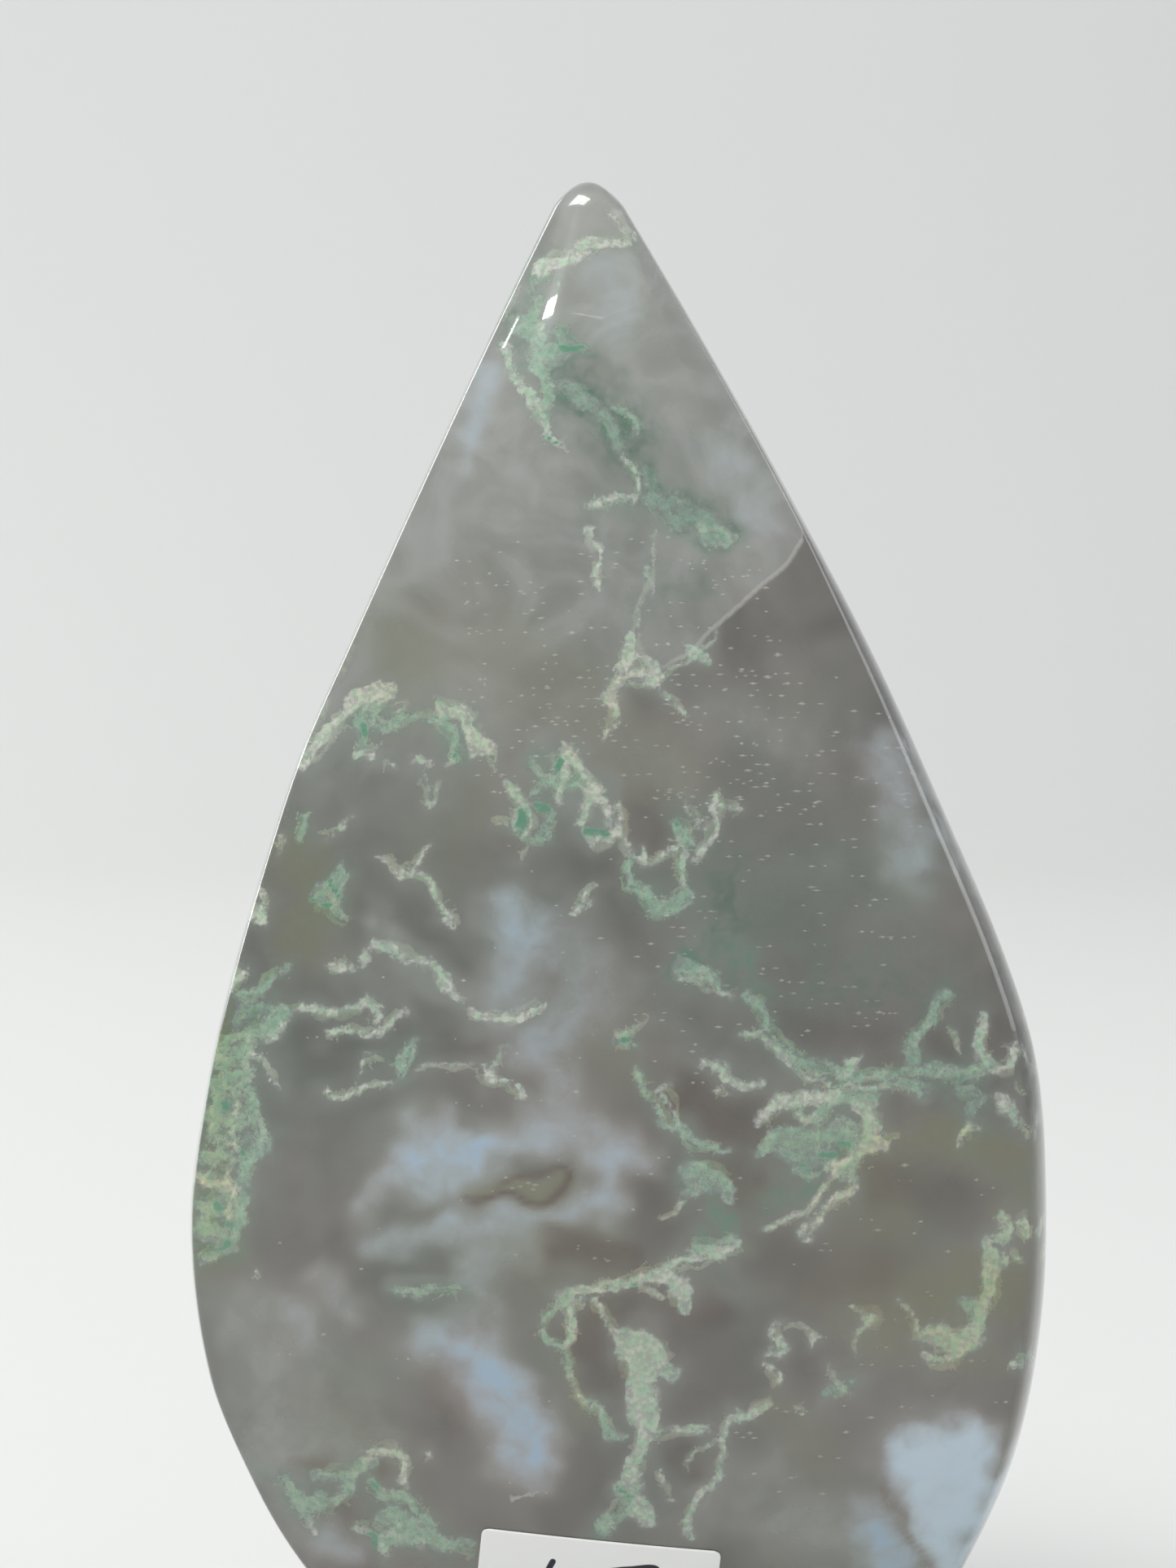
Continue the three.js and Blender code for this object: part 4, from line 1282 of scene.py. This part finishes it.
# The two colours of the ground, then the colour and clearness of what shows in the stone
GROUND = ((0.78, 0.72, 0.64), (0.70, 0.75, 0.63))
LAYERS = {
    "upper": ((0.79, 0.81, 0.75), 0.64),
    "haze": ((0.60, 0.63, 0.58), 0.55),
    "olive": ((0.48, 0.48, 0.28), 0.7),
    "veil": ((0.20, 0.31, 0.23), 0.62),
    "cloud": ((0.35, 0.47, 0.58), 0.15),
    "frost": ((0.55, 0.68, 0.77), 0.12),
    "pale_halo": ((0.46, 0.50, 0.43), 0.6),
    "green_halo": ((0.22, 0.46, 0.30), 0.58),
    "hollow": ((0.62, 0.44, 0.32), 0.92),
    "window": ((0.90, 0.92, 0.88), 0.94),
    "core": ((0.05, 0.27, 0.13), 0.25),
    # painted reflection: the darker band along the bevel stands in for the dark surroundings it mirrors
    "painted_bevel_reflection": ((0.46, 0.44, 0.40), 0.9),
    "crack": ((0.72, 0.73, 0.68), 0.3),
}
MOSS_CLEARNESS = 0.3
STONE_ROUGHNESS = 0.22
COAT_ROUGHNESS = 0.03
DEPTH_COLOUR = (0.48, 0.46, 0.42)
DEPTH_DENSITY = 320


class Painter:
    """Builds the stone's colour and clearness in layers."""

    def __init__(self, nodes, links):
        self.nodes = nodes
        self.links = links
        self.place = nodes.new("ShaderNodeTexCoord").outputs["Object"]
        self.colour = None
        self.clear = None

    def value(self, name):
        """A named point value of the mesh."""
        node = self.nodes.new("ShaderNodeAttribute")
        node.attribute_name = name
        return node.outputs["Fac"]

    def noise(self, name):
        """One of the named noises."""
        node = self.nodes.new("ShaderNodeTexNoise")
        for key, entry in zip(("Scale", "Detail", "Distortion"), NOISES[name]):
            node.inputs[key].default_value = entry
        self.links.new(self.place, node.inputs["Vector"])
        return node.outputs["Fac"]

    def work_out(self, operation, *entries, clamp=False):
        """The result of an operation on numbers and values."""
        node = self.nodes.new("ShaderNodeMath")
        node.operation = operation
        node.use_clamp = clamp
        for socket, entry in zip(node.inputs, entries):
            if isinstance(entry, (int, float)):
                socket.default_value = entry
            else:
                self.links.new(entry, socket)
        return node.outputs[0]

    def times(self, a, b, clamp=False):
        """The product of two numbers or values."""
        return self.work_out("MULTIPLY", a, b, clamp=clamp)

    def plus(self, a, b):
        """The sum of two numbers or values."""
        return self.work_out("ADD", a, b)

    def scaled(self, value, factor, offset):
        """A value times a factor, plus an offset."""
        return self.work_out("MULTIPLY_ADD", value, factor, offset)

    def between(self, value, low, high):
        """0 where a value is at low, 1 where it is at high, and a smooth step from one to the other."""
        node = self.nodes.new("ShaderNodeMapRange")
        node.interpolation_type = "SMOOTHSTEP"
        self.links.new(value, node.inputs["Value"])
        node.inputs["From Min"].default_value = low
        node.inputs["From Max"].default_value = high
        return node.outputs["Result"]

    def mix(self, share, a, b, data_type="RGBA", blend_type="MIX"):
        """A share of b over a, which are colours, numbers or values."""
        node = self.nodes.new("ShaderNodeMix")
        node.data_type = data_type
        node.blend_type = blend_type
        sockets = [s for s in node.inputs if s.enabled]
        for socket, entry in zip(sockets, (share, a, b)):
            if hasattr(entry, "is_output"):
                self.links.new(entry, socket)
            elif isinstance(entry, tuple):
                socket.default_value = (*entry, 1)
            else:
                socket.default_value = entry
        return next(s for s in node.outputs if s.enabled)

    def layer(self, share, name):
        """Lays a named layer's colour and clearness over what is there, by a share."""
        self.lay(share, *LAYERS[name])

    def lay(self, share, colour, clear):
        """Lays a colour and a clearness over what is there, by a share."""
        self.colour = self.mix(share, self.colour, colour)
        self.clear = self.mix(share, self.clear, clear, "FLOAT")

    def moss_colour(self, tint, warmth):
        """Knobs a few tenths of a millimetre across, green within and creamy at their rims."""
        cells = self.nodes.new("ShaderNodeTexVoronoi")
        cells.inputs["Scale"].default_value = MOSS_KNOB_SCALE
        self.links.new(self.place, cells.inputs["Vector"])
        knobs = self.scaled(cells.outputs["Distance"], -0.6, 0.24)
        grain = self.scaled(self.noise("grain"), 0.6, -0.3)
        ramp = colour_ramp(self.nodes, MOSS_COLOURS)
        self.links.new(self.plus(self.plus(tint, knobs), grain), ramp.inputs[0])
        return self.mix(warmth, ramp.outputs[0], WARM_MOSS, blend_type="MULTIPLY")


def moss_material():
    """Dull moss, coloured by its tint and its olive warmth."""
    material, nodes, links, shader, _ = new_material("moss")
    paint = Painter(nodes, links)
    links.new(paint.moss_colour(paint.value("tint"), paint.value("warmth")), shader.inputs["Base Color"])
    shader.inputs["Roughness"].default_value = 0.8
    return material


def paint_soft_colours(paint):
    """The ground of the stone and the soft colours in it, from the marbled upper part to the halos."""
    ground = paint.between(paint.noise("broad"), 0.35, 0.65)
    paint.colour = paint.mix(ground, *GROUND)
    paint.clear = paint.scaled(paint.noise("clearness"), -0.22, 0.94)
    upper = paint.times(paint.between(paint.value("zone"), -0.15, 0.15), paint.value("zone_fade"))
    marbled = paint.scaled(paint.between(paint.noise("marble"), 0.3, 0.7), 0.4, 0.45)
    paint.layer(paint.times(upper, marbled), "upper")
    mottled = paint.scaled(paint.between(paint.noise("mottle"), 0.35, 0.7), 0.5, 0.7)
    paint.layer(paint.times(paint.value("haze"), mottled), "haze")
    paint.layer(paint.value("olive"), "olive")
    spotted = paint.scaled(paint.between(paint.noise("curd"), 0.35, 0.68), 0.75, 0.5)
    paint.layer(paint.times(paint.value("veil"), spotted, clamp=True), "veil")
    ragged = paint.scaled(paint.noise("cloud"), 1.3, 0.35)
    paint.layer(paint.times(paint.value("cloud"), ragged, clamp=True), "cloud")
    crisp = paint.scaled(paint.noise("frost"), 0.5, -0.25)
    frosted = paint.between(paint.plus(paint.value("frost"), crisp), 0.22, 0.98)
    paint.layer(paint.times(frosted, 0.9), "frost")
    paint.layer(paint.value("pale_halo"), "pale_halo")
    paint.layer(paint.times(paint.value("green_halo"), spotted, clamp=True), "green_halo")
    paint.layer(paint.times(paint.value("hollow"), 0.9), "hollow")


def paint_moss_and_lines(paint):
    """Clear windows over the moss meshes and specks around them, then the cores, the darker band of painted
    reflection on the bevel and the fracture's fine line.
    """
    inside = paint.plus(paint.value("moss"), paint.scaled(paint.noise("rim"), 0.8, -0.4))
    paint.layer(paint.times(paint.between(inside, -0.06, 0.14), 0.85), "window")
    specks = paint.scaled(paint.between(paint.noise("specks"), 0.42, 0.6), 0.25, 0.33)
    specks = paint.times(specks, paint.scaled(paint.value("moss_tint"), -0.8, 1.4))
    speckled = paint.times(paint.between(inside, -0.1, 0.3), specks)
    paint.lay(speckled, paint.moss_colour(paint.value("moss_tint"), paint.value("olive")), MOSS_CLEARNESS)
    grain = paint.scaled(paint.noise("core"), 0.6, -0.3)
    core = paint.between(paint.plus(paint.value("core"), grain), 0.35, 0.75)
    paint.layer(paint.times(core, 0.85), "core")
    # painted reflection: a darker, flecked band along the right bevel in place of the dark surroundings it
    # mirrors
    flecked = paint.between(paint.noise("bevel"), 0.25, 0.8)
    painted_bevel_reflection = paint.times(paint.value("painted_bevel_reflection"), flecked)
    paint.layer(paint.times(painted_bevel_reflection, 0.8), "painted_bevel_reflection")
    line = paint.work_out("ABSOLUTE", paint.value("zone"))
    crack = paint.times(paint.between(line, 0.3, 0.05), paint.value("crack"))
    paint.layer(paint.times(crack, 0.35), "crack")


def stone_material():
    """Polished chalcedony, clear where nothing lies in it, that darkens what is seen through its depth."""
    material, nodes, links, shader, output = new_material("stone_body")
    paint = Painter(nodes, links)
    paint_soft_colours(paint)
    paint_moss_and_lines(paint)
    links.new(paint.colour, shader.inputs["Base Color"])
    links.new(paint.clear, shader.inputs["Transmission Weight"])
    shader.inputs["Roughness"].default_value = STONE_ROUGHNESS
    shader.inputs["IOR"].default_value = STONE_IOR
    shader.inputs["Coat Weight"].default_value = 1.0
    shader.inputs["Coat Roughness"].default_value = COAT_ROUGHNESS
    shader.inputs["Coat IOR"].default_value = STONE_IOR
    volume = nodes.new("ShaderNodeVolumeAbsorption")
    volume.inputs["Color"].default_value = (*DEPTH_COLOUR, 1)
    volume.inputs["Density"].default_value = DEPTH_DENSITY
    links.new(volume.outputs[0], output.inputs["Volume"])
    return material


# How the painted pattern frays, in pixels, how strong halos are around deep and shallow strands, how far
# they and the cores reach past them, and the tint from which a halo is green
PATTERN_FRAY = 4
PATTERN_FRAY_SCALE = 3
DEEP_HALO = 0.55
SHALLOW_HALO = 0.36
HALO_MARGIN = 8
CORE_MARGIN = 1.5
GREEN_TINT = 0.4

# Where the bevel's darker band of painted reflection fades under the tip and above the foot, and the marbled
# zone fades, as a pixel row and a reach
PAINTED_REFLECTION_TOP = (560, 160)
PAINTED_REFLECTION_FOOT = (1560, 240)
PAINTED_REFLECTION_FAINTEST = 0.15
ZONE_FADE = (860, 200)
ZONE_WIDENING = 0.4


def pattern_values(pixels, changed):
    """The soft colours and the moss at places of the pattern, after a change of its strokes."""
    fray = np.column_stack([fray_x(pixels / PATTERN_FRAY_SCALE), fray_z(pixels / PATTERN_FRAY_SCALE)])
    pixels = pixels + fray * PATTERN_FRAY
    strands = changed(MOSS)
    halos = {"green_halo": [], "pale_halo": []}
    for look, half_width, depth, path in strands:
        deep = depth > DEEP
        stroke = (DEEP_HALO, half_width, path) if deep else (SHALLOW_HALO, half_width + HALO_MARGIN, path)
        halos["green_halo" if LOOKS[look][0] > GREEN_TINT else "pale_halo"].append(stroke)
    cores = [(1.0, strand[1] + CORE_MARGIN, strand[3]) for strand in strands if strand[0] == "core"]
    values = {name: soft_strokes(pixels, changed(strokes)) for name, strokes in STROKES.items()}
    values.update({name: soft_strokes(pixels, strokes) for name, strokes in halos.items()})
    values["core"] = soft_strokes(pixels, cores)
    values["moss"], values["moss_tint"] = moss_under(pixels, strands)
    return values


def stone_values(points):
    """What the stone's shader paints at each point. The pattern runs on over the ridges and round the
    back."""
    seen = pixels_of(framed_rings.reshape(-1, 3)).reshape(*rings.shape[:2], 2)
    share = way_share[:, :-1, None]
    unrolled = seen[:, FRONT_COLUMNS, None] * (1 - share) + seen[:, :1] * share
    pixels = np.concatenate([seen[:, :FRONT_COLUMNS], unrolled], axis=1).reshape(-1, 2)
    pixels = np.vstack([pixels, pixels_of(points[-2:])])
    column = np.arange(len(pixels)) % rings.shape[1]
    in_front = (column < FRONT_COLUMNS) | (np.arange(len(pixels)) >= len(pixels) - 2)
    values = {}
    for mask, changed in ((in_front, list), (~in_front, as_on_back)):
        for name, value in pattern_values(pixels[mask], changed).items():
            values.setdefault(name, np.zeros(len(pixels)))[mask] = value
    zone, beyond = side_of_fracture(pixels)
    across, row = pixels.T
    below = (row - FRACTURE[-1][1]).clip(0)
    sideways = (FRACTURE[-1][0] - across) * MM_PER_PIXEL / (1 + below * ZONE_WIDENING)
    values["zone"] = np.where(below > 0, sideways, zone)
    # the bevel's points carry the band of painted reflection, faint under the tip and above the foot
    on_bevel = (column > FRONT_COLUMNS) & (column <= FRONT_COLUMNS + BEVEL_COLUMNS + 2)
    below_tip = (row - PAINTED_REFLECTION_TOP[0]) / PAINTED_REFLECTION_TOP[1]
    above_foot = (PAINTED_REFLECTION_FOOT[0] - row) / PAINTED_REFLECTION_FOOT[1]
    values["painted_bevel_reflection"] = np.where(on_bevel, np.minimum(below_tip, above_foot).clip(PAINTED_REFLECTION_FAINTEST, 1), 0)
    values["zone_fade"] = (1 - (row - ZONE_FADE[0]) / ZONE_FADE[1]).clip(0, 1)
    values["crack"] = np.where(in_front & (below == 0), np.minimum(beyond * 2, 1), 0)
    return values


def add_stone():
    """The stone, in place of its plain solid."""
    count = rings.shape[1]
    ends = [(*BASE_CENTRE, 0), (*TIP_CENTRE, HEIGHT)]
    points = into_frame(np.vstack([rings.reshape(-1, 3), ends]))
    faces = closed_faces(len(rings), count)
    stone = add_mesh("stone_body", points, faces, stone_material(), stone_values(points))
    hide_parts("stone")
    print("stone", len(faces), "triangles")


# The floor's reach and bend in metres, and how many parts its bend has
FLOOR_DEPTH = 1.2
FLOOR_WIDTH = 2.4
FLOOR_RISE = 1.4
FLOOR_BEND = 0.5
FLOOR_PARTS = 12


def add_floor():
    """A pale plain floor that bends up into a wall behind."""
    profile = [(-FLOOR_DEPTH, 0.0)]
    for i in range(FLOOR_PARTS + 1):
        angle = math.pi / 2 * i / FLOOR_PARTS
        profile.append((FLOOR_DEPTH - FLOOR_BEND + FLOOR_BEND * math.sin(angle),
                        FLOOR_BEND - FLOOR_BEND * math.cos(angle)))
    profile.append((FLOOR_DEPTH, FLOOR_RISE))
    points = [(side * FLOOR_WIDTH / 2, y, z) for y, z in profile for side in (-1, 1)]
    faces = [(2 * i, 2 * i + 1, 2 * i + 3, 2 * i + 2) for i in range(len(profile) - 1)]
    mesh = bpy.data.meshes.new("floor")
    mesh.from_pydata(points, [], faces)
    for face in mesh.polygons:
        face.use_smooth = True
    mesh.materials.append(plain_material("floor", (0.64, 0.64, 0.62), 0.6))
    floor = put_in_scene("floor", mesh)


def reflected(pixel):
    """The point the camera sees on the front face at a pixel, and the direction it mirrors from there."""
    pixel = np.array([pixel], float)
    point = behind_front(pixel, 0)[0]
    inward = behind_front(pixel, 1)[0] - point
    ray = point - view_point
    ray /= np.linalg.norm(ray)
    # the refracted ray is a mix of the ray and the normal, so the normal is what remains
    normal = inward - ray / STONE_IOR
    normal /= -np.linalg.norm(normal) * np.sign(np.dot(normal, ray))
    return point, ray - 2 * np.dot(ray, normal) * normal


def add_glint(name, pixel, size, strength, distance):
    """A small lamp that the polished front mirrors to the camera at a pixel."""
    point, way = reflected(pixel)
    place = point * MM + way * distance
    power = strength * math.pi * size[0] * size[1]
    add_light(name, tuple(place), size, power, tuple(point * MM))


def add_light(name, location, size, power, target=(0, 0, 0.06)):
    """A lamp of a size in metres and a power in watts, aimed at a target."""
    data = bpy.data.lights.new(name, "AREA")
    data.shape = "RECTANGLE"
    data.size = size[0]
    data.size_y = size[1]
    data.energy = power
    light = put_in_scene(name, data)
    light.location = location
    aim = Vector(target) - Vector(location)
    light.rotation_euler = aim.to_track_quat("-Z", "Y").to_euler()


# The label: a paper sheet that follows the front face, with a plain generic number in ink, in millimetres
LABEL_WIDTH = 17.6
LABEL_HEIGHT = 11.0
LABEL_CENTRE = (-1.8, 8.8)
LABEL_TURN = math.radians(-5.9)
LABEL_PAPER = 0.12
LABEL_GAP = 0.06
LABEL_CORNER = 0.5
LABEL_STEP = 0.12
PAPER_COLOUR = (0.87, 0.865, 0.84)
PAPER_ROUGHNESS = 0.75

# The number's pen strokes, in millimetres from the label's middle: the distances from one at which its ink
# has ended and is full, the step along it, and the value of a place with no ink
INK_COLOUR = (0.025, 0.025, 0.035)
INK_EDGE = (0.27, 0.19)
INK_STEP = 0.1
NO_INK = 9.0
INK = [
    [(-3.4, 3.5), (-4.3, 1.2), (-5.3, -0.6), (-1.5, -0.3)],
    [(-2.2, 2.1), (-2.5, -0.6), (-2.8, -3.3)],
    [(0.4, 3.1), (2.2, 3.5), (4.3, 3.6), (3.1, 0.6), (2.0, -3.2)],
    [(1.4, 0.2), (3.9, 0.5)],
]


def label_place(across, up, off):
    """A point of the label in millimetres of the frame, at a distance off the front face."""
    x = LABEL_CENTRE[0] + across * math.cos(LABEL_TURN) - up * math.sin(LABEL_TURN)
    z = LABEL_CENTRE[1] + across * math.sin(LABEL_TURN) + up * math.cos(LABEL_TURN)
    return np.column_stack([x, front_y(x, z), z]) + front_normal(x, z) * np.reshape(off, (-1, 1)) + SHIFT


def label_material():
    """Matt paper with ink near the pen strokes."""
    material, nodes, links, shader, _ = new_material("price_label")
    paint = Painter(nodes, links)
    ink = paint.between(paint.value("ink"), *INK_EDGE)
    colour = paint.mix(ink, PAPER_COLOUR, INK_COLOUR)
    links.new(colour, shader.inputs["Base Color"])
    shader.inputs["Roughness"].default_value = PAPER_ROUGHNESS
    return material


def add_label():
    """The label, with rounded corners, in place of its plain solid."""
    columns = int(LABEL_WIDTH / LABEL_STEP)
    rows = int(LABEL_HEIGHT / LABEL_STEP)
    up = np.linspace(-LABEL_HEIGHT / 2, LABEL_HEIGHT / 2, rows)
    to_edge = np.minimum(LABEL_HEIGHT / 2 - np.abs(up), LABEL_CORNER)
    inset = LABEL_CORNER - np.sqrt(LABEL_CORNER ** 2 - (LABEL_CORNER - to_edge) ** 2)
    across = np.linspace(-1, 1, columns) * (LABEL_WIDTH / 2 - inset)[:, None]
    up = np.broadcast_to(up[:, None], across.shape).ravel()
    across = across.ravel()
    outer = label_place(across, up, LABEL_GAP + LABEL_PAPER)
    inner = label_place(across, up, LABEL_GAP)
    gaps = np.full(len(up), np.inf)
    for stroke in INK:
        for point in smooth_path(stroke, INK_STEP):
            gaps = np.minimum(gaps, np.hypot(across - point[0], up - point[1]))
    i, j = np.meshgrid(np.arange(rows - 1), np.arange(columns - 1), indexing="ij")
    here = (i * columns + j).ravel()
    count = rows * columns
    front = np.column_stack([here, here + 1, here + columns + 1, here + columns])
    faces = [front, front[:, ::-1] + count]
    ring = np.concatenate([
        np.arange(columns - 1), np.arange(rows - 1) * columns + columns - 1,
        count - 1 - np.arange(columns - 1), (rows - 1 - np.arange(rows - 1)) * columns,
    ])
    following = np.roll(ring, -1)
    faces.append(np.column_stack([following, ring, ring + count, following + count]))
    values = {"ink": np.concatenate([gaps, np.full(count, NO_INK)])}
    label = add_mesh("price_label_paper", np.vstack([outer, inner]), np.vstack(faces), label_material(),
                     values)
    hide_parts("price_label")


# Fine white flakes just under the polish, partly white specks in the stone and partly painted glints of the
# tiny pits in
# its polish: how many, half length of the longest in millimetres, then the pixels they lie between
FLAKES = [
    (190, 0.42, (560, 660, 960, 1000)),
    (150, 0.5, (780, 820, 1130, 1280)),
    (50, 0.3, (600, 1000, 860, 1560)),
    (50, 0.35, (900, 1380, 1240, 1850)),
    (30, 0.25, (300, 1150, 700, 1850)),
]
# The brightest flakes, at their pixels: painted glints of pits in the polish
BRIGHT_FLAKES = [
    (590, 835), (640, 727), (655, 750), (575, 740), (905, 905), (1028, 900), (985, 865),
    (925, 840), (955, 805), (890, 848), (508, 1181), (570, 1205), (594, 1252), (708, 1342),
    (800, 1160), (738, 1153), (658, 1456), (850, 1292), (1112, 1432), (1078, 1512), (1165, 1538),
    (1200, 1450), (1220, 1460), (992, 1267), (1055, 1245), (1010, 1208), (960, 1205), (985, 1738),
    (1008, 1790), (967, 1735), (1070, 1742), (1040, 1760), (398, 1640), (640, 1458), (649, 1454),
    (655, 1462), (630, 1460), (531, 1665), (680, 475), (715, 730), (703, 778), (820, 860),
]

# Half the thickness of a flake, the depth of its middle, how far inside the surface flakes and marks stay
# and the cover over a mark, in millimetres, then the step along a mark, in pixels
FLAKE_THICKNESS = 0.03
FLAKE_DEPTH = 0.04
FLAKE_MARGIN = 0.03
MARK_MARGIN = 0.02
MARK_COVER = 0.03
MARK_STEP = 1.5


def add_flakes():
    """Thin flat white flakes, a third of them with another beside them; their white is partly a painted glint
    of pits in the polish.
    """
    # plain white, partly a painted glint of the polish's pits
    material = plain_material("flakes_and_glints", (1.0, 1.0, 0.98), 0.6)
    pixels = []
    sizes = []
    for count, longest, (left, top, right, bottom) in FLAKES:
        places = np.column_stack([rng.uniform(left, right, count), rng.uniform(top, bottom, count)])
        paired = places[::3]
        beside = np.column_stack([rng.uniform(11, 17, len(paired)), rng.uniform(-1, 1, len(paired))])
        pixels.extend([places, paired + beside])
        count += len(paired)
        lengths = rng.uniform(0.3, 0.85, count) * longest
        sizes.append(np.column_stack([lengths, rng.uniform(0.065, 0.12, count)]))
    pixels.append(np.array(BRIGHT_FLAKES, float))
    count = len(BRIGHT_FLAKES)
    sizes.append(np.column_stack([rng.uniform(0.25, 0.42, count), rng.uniform(0.1, 0.15, count)]))
    sizes = np.vstack(sizes)
    half_sizes = np.column_stack([sizes[:, 0], np.full(len(sizes), FLAKE_THICKNESS), sizes[:, 1]])
    heap = Heap()
    heap.beads(behind_front(np.vstack(pixels), FLAKE_DEPTH), half_sizes, np.zeros(len(sizes)))
    points = keep_inside(np.vstack(heap.points), FLAKE_MARGIN)
    add_mesh("flakes_and_glints", points, np.vstack(heap.faces), material)


# Thin streaks and specks just under the polish: colour, half width in pixels, then the path
MARK_COLOURS = {
    "dark": (0.045, 0.04, 0.03),
    "brown": (0.17, 0.14, 0.09),
    "ochre": (0.75, 0.46, 0.08),
    "white": (0.9, 0.92, 0.88),
}
MARKS = [
    ("dark", 2.2, [(599, 1121), (607, 1124), (616, 1129)]),
    ("dark", 3.0, [(489, 771), (496, 772)]),
    ("dark", 1.5, [(848, 531), (852, 534)]),
    ("dark", 1.5, [(853, 541), (856, 544)]),
    ("dark", 1.8, [(419, 1632), (424, 1634)]),
    ("brown", 1.8, [(1083, 1829), (1090, 1843), (1104, 1864), (1114, 1881), (1125, 1899), (1142, 1920)]),
    ("brown", 3.2, [(1099, 1862), (1107, 1857)]),
    ("brown", 3.4, [(1120, 1893), (1131, 1887)]),
    ("brown", 3.0, [(1136, 1912), (1148, 1908)]),
    ("brown", 3.0, [(1088, 1842), (1094, 1840)]),
    ("ochre", 3.0, [(1010, 1335), (1015, 1336)]),
    ("white", 1.6, [(703, 385), (722, 388), (742, 392)]),
    ("white", 3.2, [(627, 1842), (645, 1838), (662, 1832)]),
]


def add_marks():
    """Streaks and specks of each colour, as lumpy tubes."""
    for name, colour in MARK_COLOURS.items():
        material = plain_material("mark_" + name, colour, 0.7)
        heap = Heap()
        for _, half_width, points in (mark for mark in MARKS if mark[0] == name):
            path = smooth_path(points, MARK_STEP)
            radii = half_width * MM_PER_PIXEL * (1 + 0.45 * smooth_noise(len(path), 2)).clip(0.35)
            heap.tube(behind_front(path, radii + MARK_COVER), radii)
        points = keep_inside(np.vstack(heap.points), MARK_MARGIN)
        add_mesh("marks_" + name, points, np.vstack(heap.faces), material)


# The light from all around
SKY_COLOUR = (0.80, 0.83, 0.88)
SKY_STRENGTH = 0.62

# Studio lamps: place and size in metres, then power in watts
LAMPS = {
    "key": ((-0.45, -0.5, 1.35), (1.0, 0.8), 17.5),
    "right": ((1.1, -0.1, 0.6), (0.8, 0.8), 3.0),
    "rim": ((-0.8, 0.6, 0.5), (0.5, 0.8), 5.0),
}

# Small lamps that the polish mirrors: the pixel where they show, size in metres, brightness, then distance
# in metres
GLINTS = {
    "glint_side": ((676, 378), (0.006, 0.0016), 40, 0.06),
    "glint_edge": ((627, 410), (0.0012, 0.003), 20, 0.06),
}


def add_world():
    """Soft light from all around."""
    world = bpy.data.worlds.new("studio")
    bpy.context.scene.world = world
    world.use_nodes = True
    background = world.node_tree.nodes["Background"]
    background.inputs["Color"].default_value = (*SKY_COLOUR, 1)
    background.inputs["Strength"].default_value = SKY_STRENGTH


# Moss on the back: from how wide a half width and below which pixel row strands show there, where it is
# split into two pieces, and the share of its knobs
BACK_LEAST_WIDTH = 6
BACK_TOP = 340
BACK_SPLIT = 700
BACK_SHARE = 0.6

add_camera()
add_world()
add_floor()
for name, lamp in LAMPS.items():
    add_light(name, *lamp)
bpy.context.scene.view_settings.view_transform = "Standard"

add_stone()
moss = moss_material()
for name, strands in (
    ("moss_crown", CROWN),
    ("moss_middle", MIDDLE),
    ("moss_lower_left", LOWER_LEFT),
    ("moss_left_edge", LEFT_EDGE),
    ("moss_right_side", RIGHT_SIDE),
    ("moss_foot", FOOT),
):
    add_moss(name, strands, moss)
halves = {"moss_back_left": [], "moss_back_right": []}
for look, half_width, depth, path in as_on_back(MOSS):
    if look in ("pale", "core") or half_width < BACK_LEAST_WIDTH or path[:, 1].min() <= BACK_TOP:
        continue
    half = "moss_back_left" if path[0][0] < BACK_SPLIT else "moss_back_right"
    halves[half].append((look, half_width, depth, path))
for name, strands in halves.items():
    add_moss(name, strands, moss, behind_back, BACK_SHARE)
add_flakes()
add_marks()
add_label()
for name, glint in GLINTS.items():
    add_glint(name, *glint)
